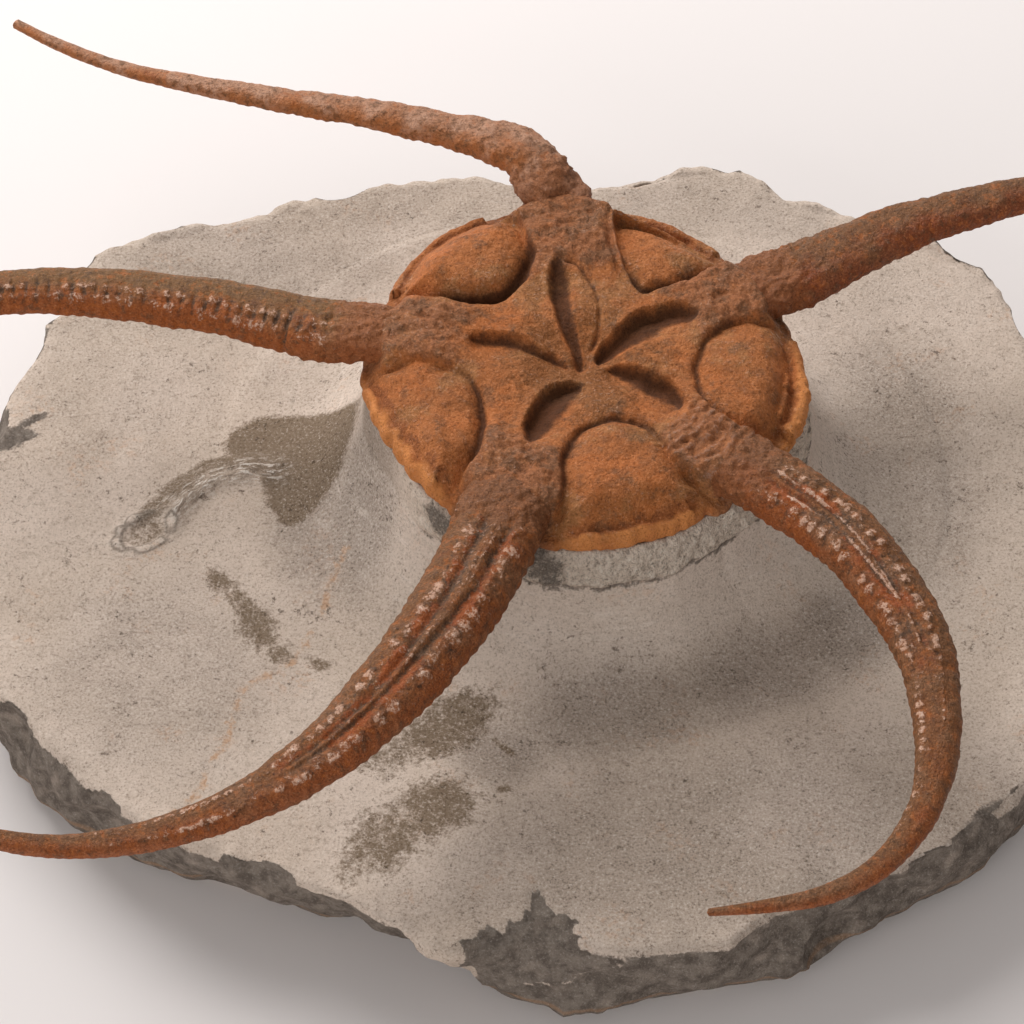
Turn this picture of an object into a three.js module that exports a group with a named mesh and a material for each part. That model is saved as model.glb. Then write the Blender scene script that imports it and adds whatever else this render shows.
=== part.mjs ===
// A fossil brittle star, mouth side up, freed from its rock and left standing on a
// pedestal of the same grey sandstone.
//
// Millimetres, +Z up, +X to the right and +Y to the back as the slab lies on a table.
// The origin is on the resting plane, directly below the mouth.
//
// Pieces: the stone (slab and pedestal in one), the disc, and five arms that fork off it.

import * as THREE from 'three';

// ---------------------------------------------------------------- driving dimensions

const GAP = 0.3;               // clearance between pieces that meet
const PEDESTAL_TOP = 25;       // height of the flat that carries the disc
const SLAB_TOP = 12;           // height of the slab's top face at its edge
const BACK_RISE = 1.2;         // how much higher that edge stands at the back
const MOAT_FLOOR = 10.6;       // height of the hollow ground round the pedestal
const MOAT_RADIUS = 33;        // where that hollow is deepest
const PEDESTAL_INSET = 0.6;    // how far the pedestal's wall stays inside the disc's rim
const COLLAR_FOOT = 20;        // height where the rough collar under the disc ends
const FLARE_AT_SIDES = 0.35;   // how much wider the pedestal's foot spreads to the left and right
const ARM_AXIS = 28.25;        // height of the arms' centre lines where they leave the disc
const ARM_HALF_HEIGHT = 2.7;   // half the depth of an arm's root
const DISC_UNDER = PEDESTAL_TOP + GAP;
const RIM_TOP = 27.3;          // height of the disc's thin outer rim
const RIM_WIDTH = 2.4;         // width of that flat rim round the lobes
const PLATEAU_TOP = 30.5;      // height of the arm plateaus on the disc
const PLATEAU_HALF = [3.2, 4.4]; // half their width near the mouth and at the rim
const LOBE_TOP = 30.2;         // height of the petal-shaped lobes between the arms
const LOBE_START = 8.6;        // distance from the mouth to a lobe's inner end
const SLIT_END = 12;           // distance from the mouth to a mouth slit's outer end
const SLIT_HALF = 1.5;         // half a slit's width
const SLIT_DEPTH = 2.4;
const DISC_UNDERCUT = 0.95;    // the disc's underside as a share of its outline

// Outlines as seen from above: [degrees anticlockwise from +X, distance from the mouth axis].
const SLAB_EDGE = [
  [-176, 64], [-166, 66], [-156, 65.5], [-148, 63.3], [-139, 63], [-131, 60.5], [-120, 59.6],
  [-108, 59.5], [-100, 58], [-96, 53], [-91, 56], [-87, 59.2], [-77, 60], [-72, 57.4], [-62, 57.6],
  [-54, 59.4], [-44, 59], [-34, 57.5], [-22, 57.5], [-10, 56.5], [2, 54], [14, 51.5], [23, 51],
  [32, 51.4], [42, 48.2], [50, 46], [58, 44], [68, 45], [75, 43], [81, 40.2], [88, 38.8], [98, 39.6],
  [104, 42], [120, 45.2], [133, 48.4], [141, 53.5], [150, 60], [160, 59.2], [172, 60.8],
];
// The broken edge's lower corner: it stays back under the front left and stands out at the front.
const SLAB_FOOT = [
  [-176, 62.6], [-154, 64.8], [-141, 63], [-130, 58.2], [-119, 55.7], [-109, 54.4], [-98, 58.4],
  [-92, 60.1], [-84, 58.8], [-70, 59.2], [-60, 57], [-44, 58.4], [-30, 57], [-10, 55.5], [14, 50.5],
  [32, 50], [50, 45], [68, 43.8], [88, 38], [104, 41], [120, 44], [133, 47.3], [150, 58.8],
  [160, 58], [172, 59.5],
];
const FOOT_HEIGHT = 3;         // height of that lower corner above the resting plane
const FOOT_BEVEL = 2.6;        // how far the flat underside stays inside it
const DISC_RIM = [
  [-176, 22.3], [-156, 21.1], [-133, 21.2], [-92, 21.6], [-66, 21.5], [-50, 20.9], [-23, 22.4],
  [-11, 23], [4, 22.4], [16, 22.1], [47, 21.8], [62, 22.1], [80, 22.6], [111, 23.6], [128, 23.8],
  [142, 23.1], [152, 22.5],
];

// Arms: compass direction at the root, distance from the mouth axis to the root's face, width at the
// root, and the centre line's further points as [x, y, z, width].
const ARMS = [
  {
    name: 'arm_back', color: 0x93694f, angle: 94, root: 22.2, width: 8,
    line: [
      [-2, 24.2, 29.2, 6.7], [-4.2, 26.1, 30.2, 6.1], [-8.5, 27.9, 30.8, 5.4], [-14.6, 30, 31, 4.3],
      [-23, 33.1, 30.5, 3.6], [-32.4, 35.6, 30, 3.1], [-41, 38.2, 29.5, 2.4], [-48.5, 41, 29, 1.8],
      [-55, 44.3, 29, 1.4], [-60, 47.6, 29, 1.1],
    ],
  },
  {
    name: 'arm_right', color: 0x7c4f38, angle: 30, root: 21.7, width: 7.9,
    line: [
      [22.3, 12.2, 28.5, 7.4], [27.3, 14.5, 29.4, 6.8], [33, 17.3, 30, 6.1], [38.7, 19.2, 30.4, 4.9],
      [45.5, 21.4, 30.5, 4.3], [53, 23.4, 30.2, 3.6], [61, 25, 29.7, 2.9], [68.5, 26.6, 29, 2.2],
      [75, 28.8, 28.4, 1.3],
    ],
  },
  {
    name: 'arm_front_right', color: 0x7a4c35, angle: -40, root: 21.4, width: 7.8,
    line: [
      [20.7, -17.4, 28.5, 7.3], [25.2, -21.8, 28.5, 6.9], [29.4, -28.2, 28, 6.5], [32.2, -34.6, 27.5, 5.7],
      [33.1, -41.3, 27, 4.9], [32.8, -47.9, 26.5, 4], [30.8, -54, 26, 3], [26.9, -58.9, 25.5, 2.3],
      [22, -61.6, 25, 1.9], [16.3, -62.9, 25, 1.3], [10.9, -63.6, 25, 0.7],
    ],
  },
  {
    name: 'arm_front_left', color: 0x764a33, angle: -113, root: 21, width: 9.4,
    line: [
      [-10, -24.9, 28.5, 8.8], [-13.5, -32.4, 28.5, 8.3], [-17.8, -39, 28, 7.5], [-22.6, -44.5, 27, 6.4],
      [-27.4, -48.4, 26, 5.3], [-31.8, -51.2, 25.5, 4.3], [-36.6, -53.4, 25, 3.6], [-43, -55.2, 24.6, 2.9],
      [-49.3, -55.9, 24.6, 2.3], [-55, -55.4, 25, 2], [-60.6, -53.4, 25.2, 1.5], [-65, -50.8, 25.4, 0.9],
    ],
  },
  {
    name: 'arm_left', color: 0x7d5137, angle: 168, root: 22, width: 7.2,
    line: [
      [-26.1, 5.1, 28.1, 6.9], [-31.6, 6.6, 28.1, 6.5], [-37.2, 7.9, 28.5, 6], [-43.8, 8.7, 28.9, 5.7],
      [-49.9, 9.3, 29, 5.3], [-56, 9.4, 29, 4.9], [-62.5, 9, 28.8, 4.3], [-69.5, 8.3, 28.5, 3.5],
      [-76.5, 7.6, 28.1, 2.5], [-83.5, 7.8, 27.8, 1.2],
    ],
  },
];

// ---------------------------------------------------------------- small helpers

const radians = (degrees) => (degrees * Math.PI) / 180;

const step = (edge0, edge1, x) => {
  const t = Math.min(1, Math.max(0, (x - edge0) / (edge1 - edge0)));
  return t * t * (3 - 2 * t);
};

const mix = (a, b, t) => a + (b - a) * t;

// A closed outline given by [degrees, value] points: reads the value at any angle.
function aroundCircle(points) {
  const sorted = [...points].sort((p, q) => p[0] - q[0]);
  return (degrees) => {
    const angle = ((((degrees + 180) % 360) + 360) % 360) - 180;
    let next = sorted.findIndex((p) => p[0] > angle);
    if (next < 0) next = sorted.length;
    const before = next === 0 ? sorted[sorted.length - 1] : sorted[next - 1];
    const after = next === sorted.length ? sorted[0] : sorted[next];
    const start = next === 0 ? before[0] - 360 : before[0];
    const end = next === sorted.length ? after[0] + 360 : after[0];
    return mix(before[1], after[1], (angle - start) / (end - start));
  };
}

// The smallest angle between two directions, in degrees.
const angleBetween = (a, b) => Math.abs(((((a - b + 180) % 360) + 360) % 360) - 180);

// A closed body made of loops of points, from a first end point to a last one. Each loop has the
// same number of points, anticlockwise as seen from the last point's side.
function closedBody(first, loops, last) {
  const positions = [...first];
  const count = loops[0].length;
  for (const loop of loops) for (const point of loop) positions.push(...point);
  positions.push(...last);
  const end = 1 + loops.length * count;
  const at = (loop, i) => 1 + loop * count + (i % count);
  const index = [];
  for (let i = 0; i < count; i++) {
    index.push(0, at(0, i + 1), at(0, i));
    for (let loop = 0; loop + 1 < loops.length; loop++) {
      index.push(at(loop, i), at(loop, i + 1), at(loop + 1, i + 1));
      index.push(at(loop, i), at(loop + 1, i + 1), at(loop + 1, i));
    }
    index.push(end, at(loops.length - 1, i), at(loops.length - 1, i + 1));
  }
  const geometry = new THREE.BufferGeometry();
  geometry.setAttribute('position', new THREE.Float32BufferAttribute(positions, 3));
  geometry.setIndex(index);
  geometry.computeVertexNormals();
  return geometry;
}

function piece(name, geometry, color, roughness) {
  const material = new THREE.MeshStandardMaterial({ color, roughness, metalness: 0 });
  const mesh = new THREE.Mesh(geometry, material);
  mesh.name = name;
  return mesh;
}

// ---------------------------------------------------------------- the stone

const slabEdge = aroundCircle(SLAB_EDGE);
const slabFoot = aroundCircle(SLAB_FOOT);
const discRim = aroundCircle(DISC_RIM);

// The pedestal's wall from the slab up: [height, how far it stands out from the wall under the disc].
const WALL = [[11.9, 8.2], [13.2, 5.4], [15, 3.2], [17.4, 1.6], [COLLAR_FOOT, 0.5]];

// The slab's top: hollowed round the pedestal, rising to its broken edge, higher at the back.
function slabTop(degrees, radius) {
  const back = BACK_RISE * Math.max(0, Math.sin(radians(degrees)));
  const rise = SLAB_TOP + back - MOAT_FLOOR;
  return MOAT_FLOOR + rise * step(MOAT_RADIUS, slabEdge(degrees), radius);
}

function stoneGeometry() {
  const sides = 90;
  const loops = [];
  const addLoop = (radiusAt, heightAt) => {
    const loop = [];
    for (let i = 0; i < sides; i++) {
      const degrees = (360 * i) / sides - 180;
      const radius = radiusAt(degrees);
      const angle = radians(degrees);
      loop.push([radius * Math.cos(angle), radius * Math.sin(angle), heightAt(degrees, radius)]);
    }
    loops.push(loop);
  };
  const spread = (a) => 1 + FLARE_AT_SIDES * Math.abs(Math.cos(radians(a)));
  const wallOut = (a, out) => discRim(a) - PEDESTAL_INSET + out * spread(a);
  const resting = (a) => slabFoot(a) - FOOT_BEVEL;

  addLoop((a) => 0.5 * resting(a), () => 0);
  addLoop(resting, () => 0);
  addLoop(slabFoot, () => FOOT_HEIGHT);
  addLoop((a) => mix(slabFoot(a), slabEdge(a), 0.6) + 0.4, () => 0.6 * SLAB_TOP);
  addLoop(slabEdge, (a) => slabTop(a, slabEdge(a)) - 1);
  addLoop((a) => slabEdge(a) - 1.2, slabTop);
  for (const share of [0.72, 0.45, 0.2]) {
    addLoop((a) => mix(MOAT_RADIUS, slabEdge(a), share), slabTop);
  }
  addLoop(() => MOAT_RADIUS, () => MOAT_FLOOR);
  for (const [height, out] of WALL) {
    addLoop((a) => Math.min(wallOut(a, out), MOAT_RADIUS - 0.6), () => height);
  }
  addLoop((a) => wallOut(a, 0.2), () => PEDESTAL_TOP - 1);
  addLoop((a) => wallOut(a, -0.6), () => PEDESTAL_TOP);
  addLoop(() => 10, () => PEDESTAL_TOP);
  return closedBody([0, 0, 0], loops, [0, 0, PEDESTAL_TOP]);
}

// ---------------------------------------------------------------- the disc

// Where an arm leaves, the rim is cut straight across, square to the arm.
function discOutline(degrees) {
  let radius = discRim(degrees);
  for (const arm of ARMS) {
    const off = angleBetween(degrees, arm.angle);
    if (off < 40) {
      const chord = arm.root / Math.cos(radians(off));
      const reach = (Math.atan2(arm.width / 2 + 1, arm.root) * 180) / Math.PI;
      if (off < reach) radius = chord;
      else radius = Math.min(radius, chord);
    }
  }
  return radius;
}

// The mouth side: five arm plateaus with a mouth slit along each, and a domed lobe between each two,
// ringed by a trough and a thin flat rim.
function discTop(degrees, radius, outline) {
  const offAxis = Math.min(...ARMS.map((arm) => angleBetween(degrees, arm.angle)));
  const across = radius * Math.sin(radians(offAxis));
  const plateauHalf = mix(PLATEAU_HALF[0], PLATEAU_HALF[1], step(6, 18, radius));
  const plateau = step(plateauHalf + 1.3, plateauHalf, across);
  const jaws = step(LOBE_START + 2, LOBE_START, radius);
  const lobeEdge = Math.min(across - plateauHalf - 0.6, radius - LOBE_START, outline - RIM_WIDTH - radius);
  const lobe = lobeEdge > 0 ? Math.sqrt(Math.min(1, lobeEdge / 3)) : 0;
  const along = step(1.5, 4, radius) * step(SLIT_END + 0.5, SLIT_END - 2, radius);
  const slit = step(SLIT_HALF, 0.4, across) * along;
  const onPlateau = plateau > 0.9;
  const relief = mix(RIM_TOP, PLATEAU_TOP, Math.max(plateau, jaws));
  const body = Math.max(RIM_TOP + (onPlateau ? 1 : 0), relief, mix(RIM_TOP, LOBE_TOP, lobe));
  const inward = onPlateau ? 1 : step(outline, outline - RIM_WIDTH + 0.6, radius);
  return mix(RIM_TOP, body, inward) - SLIT_DEPTH * slit;
}

// The directions of the disc's spokes: one along each arm, the rest spread evenly between the arms.
function spokes(perSector) {
  const sorted = ARMS.map((arm) => arm.angle).sort((a, b) => a - b);
  const directions = [];
  sorted.forEach((from, k) => {
    const to = k + 1 < sorted.length ? sorted[k + 1] : sorted[0] + 360;
    for (let i = 0; i < perSector; i++) directions.push(from + ((to - from) * i) / perSector);
  });
  return directions;
}

function discGeometry() {
  const rings = [0.96, 0.91, 0.86, 0.78, 0.7, 0.62, 0.54, 0.47, 0.4, 0.3, 0.19, 0.08];
  const directions = spokes(14);
  const loops = [];
  const addLoop = (share, heightAt) => {
    loops.push(directions.map((degrees) => {
      const outline = discOutline(degrees);
      const radius = outline * share;
      const angle = radians(degrees);
      return [radius * Math.cos(angle), radius * Math.sin(angle), heightAt(degrees, radius, outline)];
    }));
  };
  addLoop(DISC_UNDERCUT, () => DISC_UNDER);
  addLoop(1, () => DISC_UNDER + 0.6);
  addLoop(1, discTop);
  for (const share of rings) addLoop(share, discTop);
  return closedBody([0, 0, DISC_UNDER], loops, [0, 0, PLATEAU_TOP - 2]);
}

// ---------------------------------------------------------------- the arms

// A tapering sweep along the arm's centre line, flatter at the root and rounder at the tip.
function armGeometry(arm) {
  const sides = 10;
  const steps = 24;
  const direction = radians(arm.angle);
  const start = arm.root + GAP;
  const heading = new THREE.Vector3(Math.cos(direction), Math.sin(direction), 0);
  const centre = [heading.clone().multiplyScalar(start).setZ(ARM_AXIS)];
  const widths = [arm.width];
  for (const [x, y, z, width] of arm.line) {
    centre.push(new THREE.Vector3(x, y, z));
    widths.push(width);
  }
  const curve = new THREE.CatmullRomCurve3(centre, false, 'centripetal');
  const up = new THREE.Vector3(0, 0, 1);
  const loops = [];
  for (let k = 0; k <= steps; k++) {
    const u = k / steps;
    const middle = curve.getPoint(u);
    const ahead = k === 0 ? heading.clone() : curve.getTangent(u);
    const side = new THREE.Vector3().crossVectors(ahead, up).normalize();
    const top = new THREE.Vector3().crossVectors(side, ahead).normalize();
    const knot = u * (widths.length - 1);
    const low = Math.min(Math.floor(knot), widths.length - 2);
    const width = mix(widths[low], widths[low + 1], knot - low);
    const halfHeight = Math.min(ARM_HALF_HEIGHT, width * mix(0.3, 0.42, u));
    const loop = [];
    for (let i = 0; i < sides; i++) {
      const turn = (2 * Math.PI * (i + 0.5)) / sides;
      const point = middle.clone();
      point.addScaledVector(side, -0.5 * width * Math.cos(turn));
      point.addScaledVector(top, halfHeight * Math.sin(turn));
      loop.push(point.toArray());
    }
    loops.push(loop);
  }
  const tip = curve.getPoint(1).addScaledVector(curve.getTangent(1), 0.3);
  return closedBody(curve.getPoint(0).toArray(), loops, tip.toArray());
}

// ---------------------------------------------------------------- the object

const fossil = new THREE.Group();
fossil.add(piece('matrix', stoneGeometry(), 0xb3a293, 0.95));
fossil.add(piece('disc', discGeometry(), 0x9c5f3c, 0.6));
for (const arm of ARMS) fossil.add(piece(arm.name, armGeometry(arm), arm.color, 0.55));

export default fossil;
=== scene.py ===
# A fossil brittle star, mouth side up, freed from its rock and left standing on a
# pedestal of the same grey sandstone. The order is: the stone, the disc, the five
# arms, then the table, the lights and the camera. Sizes are in millimetres, and MM
# turns them into metres.
import itertools
import math

import bpy
import numpy as np
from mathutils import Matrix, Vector


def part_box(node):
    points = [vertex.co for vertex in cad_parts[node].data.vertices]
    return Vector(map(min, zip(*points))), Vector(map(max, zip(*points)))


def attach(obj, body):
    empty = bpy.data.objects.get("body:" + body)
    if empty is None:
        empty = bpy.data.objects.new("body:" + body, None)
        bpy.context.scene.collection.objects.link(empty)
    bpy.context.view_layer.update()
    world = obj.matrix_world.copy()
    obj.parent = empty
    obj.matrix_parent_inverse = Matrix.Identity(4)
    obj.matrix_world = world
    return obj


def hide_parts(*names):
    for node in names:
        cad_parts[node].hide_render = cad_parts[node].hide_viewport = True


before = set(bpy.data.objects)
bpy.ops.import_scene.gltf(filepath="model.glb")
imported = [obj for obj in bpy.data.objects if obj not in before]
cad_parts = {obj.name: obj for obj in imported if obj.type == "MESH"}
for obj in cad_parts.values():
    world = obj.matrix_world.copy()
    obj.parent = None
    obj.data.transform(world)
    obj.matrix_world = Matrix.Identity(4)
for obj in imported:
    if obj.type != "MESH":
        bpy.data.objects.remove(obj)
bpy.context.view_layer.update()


# ------------------------------------------------------------------ the stone
# One loose slab of fine grey sandstone. Its top is ground hollow round the fossil,
# leaving a flared pedestal with a rough collar under the disc. The edges are as
# they broke: dark, rough and scalloped.

MM = 0.001
PEDESTAL_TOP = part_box("matrix")[1][2] / MM
CAP_RADIUS = 9
SLAB_TOP = 12.0
BACK_RISE = 1.2
MOAT_FLOOR = 11
MOAT_RADIUS = 33.0
FLARE_AT_SIDES = 0.35
FOOT_HEIGHT = 3.0
FOOT_BEVEL = 2.6
STONE_SIDES = 720
WALL_RINGS = 46
SLAB_RINGS = 56
EDGE_RINGS = 18
EDGE_BULGE = 0.5
EDGE_BEVEL = 0.9

# Outlines from above: degrees anticlockwise from +X, distance from the mouth.
SLAB_EDGE = [
    (-176, 64), (-166, 66), (-156, 65.5), (-148, 63.3), (-139, 63), (-131, 60.5),
    (-119, 58.6), (-113, 57.8), (-108, 59), (-105.5, 60.2), (-102.5, 60.7), (-100, 59.6),
    (-96, 57.8), (-91, 58.4), (-87, 59.2), (-77, 60), (-72, 57.4), (-62, 57.6), (-54, 59.4),
    (-44, 59), (-34, 57.5), (-22, 57.5), (-10, 56.5), (2, 54), (14, 51.5), (23, 51), (32, 51.4),
    (42, 48.2), (50, 46), (58, 44), (68, 45), (75, 43), (81, 40.2), (88, 38.8), (98, 39.6),
    (104, 42), (120, 45.2), (133, 48.4), (141, 53.5), (150, 60), (160, 59.2), (172, 60.8),
]
SLAB_FOOT = [
    (-176, 62.6), (-154, 64.8), (-141, 63), (-130, 58.2), (-123, 56.1), (-118.5, 54.8),
    (-113.5, 53), (-109.5, 53.8), (-104, 54.8), (-101, 55.8), (-98, 58), (-92, 60.1),
    (-84, 58.8), (-70, 59.2), (-60, 57), (-44, 58.4), (-30, 57), (-10, 55.5), (14, 50.5),
    (32, 50), (50, 45), (68, 43.8), (88, 38), (104, 41), (120, 44), (133, 47.3), (150, 58.8),
    (160, 58), (172, 59.5),
]
DISC_RIM = [
    (-176, 22.3), (-156, 21.1), (-133, 21.2), (-92, 21.6), (-66, 21.5), (-50, 20.9),
    (-23, 22.4), (-11, 23), (4, 22.4), (16, 22.1), (47, 21.8), (62, 22.1), (80, 22.6),
    (111, 23.6), (128, 23.8), (142, 23.1), (152, 22.5),
]
# The pedestal's side from its top down: how far out from the disc's rim, and height.
WALL = [
    (-1.2, 25), (-0.5, 24.6), (-0.3, 23.2), (-0.2, 21.6), (0.1, 20), (1, 17.4), (2.6, 15),
    (4.8, 13.2), (7.6, 12), (11, 11.3),
]
# The rough collar ends above a ragged line, and stands out most on the side it faces.
COLLAR_FOOT = 20.4
COLLAR_RADIUS = 26
COLLAR_FACES = -48
# Unevenness of the broken, the ground and the pecked faces: depth, lump size and seed.
BROKEN_LUMPS = [(0.9, 7, 3), (0.5, 3, 5), (0.25, 1.3, 8)]
GROUND_LUMPS = [(0.4, 15, 11), (0.14, 5, 13), (0.04, 1.6, 17)]
COLLAR_LUMPS = [(0.3, 2.6, 18), (0.25, 1.2, 19), (0.2, 0.6, 23)]
COLLAR_FOOT_LUMPS = [(0.5, 3, 71), (0.3, 1.1, 73)]
COLLAR_PROUD = 0.5
# Scoops left by flakes struck off the edge: degrees, how far out and how high the
# middle of the round cut lies, and its radius.
STRUCK = [
    (-124, 67.5, 15, 9), (-138, 70, 14, 8.5), (-147, 70, 16, 8), (-66, 65, 14, 8),
    (-50, 66.5, 15, 9), (-43, 65, 17, 8), (174, 67, 15, 8), (-116, 66, 12, 7.5),
    (-56, 65, 11, 7),
]
# Smaller scoops follow each other all along the edge, except at the lost flake.
SCOOP_EVERY = 7.5
SCOOP_RADIUS = (3, 6)
SCOOP_HEIGHT = (4, 14)
SCOOP_SEED = 41
# The front edge has lost a thin jagged flake, down to the darker stone under the skin.
FLAKE = [
    (-5, -51.7), (-5.7, -54.2), (-6.5, -55.8), (-7.6, -55.6), (-7.9, -56.9), (-9.6, -56.3),
    (-10.7, -57.7), (-12, -58.4), (-10.7, -60.4), (-8.4, -61.7), (-4.4, -63.4), (-1.3, -62.1),
    (1.1, -60.7), (2.1, -59.9), (0.4, -58.9), (-0.9, -58.4), (-0.1, -57.7), (-1.1, -57.3),
    (-0.9, -55.6), (-2.6, -54.8), (-3.8, -53.8), (-4.1, -52.2),
]
FLAKE_DEPTH = 0.5
FLAKE_SIDES = (-114, -70)
# Beside the flake the skin hangs over most of the broken edge: its bearing and half
# width, how many rings down it comes, and how wavy its sides are.
OVERHANG = (-math.radians(100), 0.06)
OVERHANG_RINGS = 14
OVERHANG_WAVES = [(0.05, 3, 96), (0.03, 1, 94)]
# A pale seam runs down the broken edge below the flake: x and height.
SEAM = [(-6.4, 5.6), (-4.6, 6.2), (-1.3, 6.8), (0.8, 8.8), (2.8, 10), (4, 10.8)]
SEAM_WIDTH = 0.25
SEAM_PALENESS = 0.55
# A small tube of another animal lies in the slab, and shows its oval open end.
TUBE = [
    (-45, -7.8), (-42.5, -6), (-40.1, -2.6), (-37.6, -0.8), (-34.5, 0), (-31.5, -0.6), (-29, -0.4),
]
TUBE_END = (-44.6, -7.5, 3.1, 2.0, 38)
TUBE_HALF_WIDTH = 1.5
TUBE_HEIGHT = 0.7
TUBE_RING_HEIGHT = 0.35
TUBE_RING_WIDTH = 0.24
TUBE_KNOTS = [(0.8, 1.1, 91), (0.5, 0.5, 92)]
# The stain the tube runs into, climbing the pedestal's side.
DARK_PATCH = [
    (-36.4, 4.4), (-33, 6.5), (-29, 6.2), (-25.5, 5.4), (-23.2, 4), (-23.2, 1.5), (-24.1, -1.7),
    (-26.1, -4.7), (-29.4, -7.4), (-31.8, -4.6), (-32.8, -0.9), (-35.6, 0.4),
]
# Smaller stains, of which those below the front left arm are partly its painted shadow: x, y, half
# length, half width, turn in degrees, strength.
STAINS_AND_SHADOWS = [
    (-36.6, -13.9, 1.9, 1.1, -50, 0.85), (-34.2, -17, 3, 1.2, -58, 0.85),
    (-32.4, -20.2, 3, 2.1, -58, 0.85), (-30.4, -22.9, 1.4, 1.2, -20, 0.9),
    (-26.4, -24, 1.3, 0.8, -30, 0.9), (-13.8, -32, 5.2, 3.4, 30, 0.92),
    (-18.5, -34.8, 4, 2.4, 30, 0.7), (-14.6, -42.2, 4.4, 3.4, 30, 0.95),
    (-19.5, -46, 4.6, 3.4, 50, 0.82), (-22.5, -49.5, 2.4, 1.8, 60, 0.6),
    (-8, -34.3, 1.5, 0.4, -45, 1.0), (-7.9, -39.7, 0.8, 0.5, 0, 1.0),
    (-43.6, -4.4, 2.6, 1.2, 50, 0.85), (-41, -1.3, 3, 1.3, 40, 0.95),
    (-37.6, 0.9, 3, 1.1, 15, 0.95), (-43.4, -8, 2.4, 0.9, 30, 0.5),
]
# Wide patches of painted shade, where the light is weaker and where the pedestal and arms cast
# shadows, laid out as the stains are.
PAINTED_SHADES = [
    (3, -30.5, 13, 6.5, 6, 0.9), (18, -25.5, 12, 5.5, 24, 0.95), (14, -46, 34, 13, 10, 0.88),
    (-42, -26, 15, 14, 0, 0.7), (-30, 31, 34, 12, 20, 0.65), (5, 36, 16, 10, 0, 0.6),
    (20, 35, 10, 6, -20, 0.5), (34, -5, 9, 14, 0, 0.7), (33, 10, 9, 8, 0, 0.8),
    (-29, 11, 8, 5, 0, 0.5), (-26.5, -7, 6, 11, 0, 1), (-22.5, -9, 4, 9, 0, 1.3),
    (27, -20, 8, 5.5, 35, 1.2), (-8.5, -35.5, 5, 5, 0, 1), (-49, 10, 14, 10, 0, 0.45),
]
# Spots where the top has flaked away to the dark stone: x, y, half sizes, turn.
CHIPS = [
    (-59.3, 4.4, 2.8, 1.5, 30), (-56.8, 7, 1.9, 0.6, 30), (-57, 4.9, 0.9, 0.7, 0),
    (-61, -14.5, 1.4, 0.9, 70), (39.5, -43.6, 3.2, 1.7, 40), (42.6, -40.4, 1.6, 0.8, 40),
]
# Black smudges on the collar beside the arms: x, y, z and size.
SMUDGES = [
    (-4.2, -21.2, 23.2, 2.7), (-3.4, -21.8, 20.8, 1.6), (-14.8, -16.2, 23.4, 2.4),
    (18.2, -15.6, 22.8, 1.9), (20.8, -12, 23.4, 1.6), (22.3, -4, 23.8, 1.2),
]
# A thin rusty vein wanders over the top.
VEIN = [
    (-24, -11.4), (-25.4, -15.3), (-26.3, -19.1), (-29.2, -24.1), (-32, -26), (-34.1, -27.9),
    (-35, -34), (-36.2, -36.5), (-38, -41.2), (-40.5, -44),
]
SANDSTONE = {
    "pale sand": (206, 188, 173), "buff sand": (195, 177, 161), "grey pores": (166, 149, 133),
    "rust freckles": (198, 158, 128), "shade": (196, 195, 194), "stain_and_shadow": (127, 109, 91),
    "vein": (182, 142, 108), "ground": (222, 206, 193), "ground streaks": (228, 214, 202),
    "tube": (142, 125, 109), "tube ridges": (222, 211, 200), "tube creases": (100, 87, 75),
    "ring": (206, 194, 182), "ring shadow": (98, 86, 74), "broken": (126, 115, 105),
    "broken dark": (94, 84, 76), "broken pale": (156, 141, 128), "foot rust": (150, 118, 92),
    "collar": (232, 214, 196), "collar pits": (124, 110, 98), "collar creases": (140, 124, 110),
    "collar fibres": (242, 230, 214), "lip_shadow_and_smudges": (92, 83, 75), "dark grains": (152, 144, 137),
    "pale grains": (238, 227, 216), "black specks": (126, 118, 111),
}


def step(start, end, value):
    """Rises smoothly from 0 at start to 1 at end."""
    part = np.clip((value - start) / (end - start), 0, 1)
    return part * part * (3 - 2 * part)


def mix(first, second, share):
    return first + (second - first) * share


def hump(value, middle, width, power=2):
    """A smooth hump, 1 high, round a middle value."""
    return np.exp(-(((value - middle) / width) ** power))


def at(radius, angle, height):
    """Points at a distance from the mouth, an angle round it and a height."""
    x, y = radius * np.cos(angle), radius * np.sin(angle)
    return np.stack(np.broadcast_arrays(x, y, height), axis=-1)


def smooth_line(points, count, closed=False):
    """The given number of points along a smooth curve through some points."""
    points = np.array(points, float)
    if closed:
        line = np.vstack([points[-1:], points, points[:2]])
    else:
        line = np.vstack([2 * points[0] - points[1], points, 2 * points[-1] - points[-2]])
    spans = len(line) - 3
    place = np.linspace(0, spans, count, endpoint=not closed)
    knot = np.minimum(place.astype(int), spans - 1)
    t = (place - knot)[:, None]
    a, b, c, d = (line[knot + shift] for shift in range(4))
    return b + 0.5 * t * (c - a + t * (2 * a - 5 * b + 4 * c - d + t * (3 * (b - c) + d - a)))


def around(outline, degrees):
    """Reads a closed outline at any angle."""
    angles, values = zip(*outline)
    return np.interp(degrees, angles, values, period=360)


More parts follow.
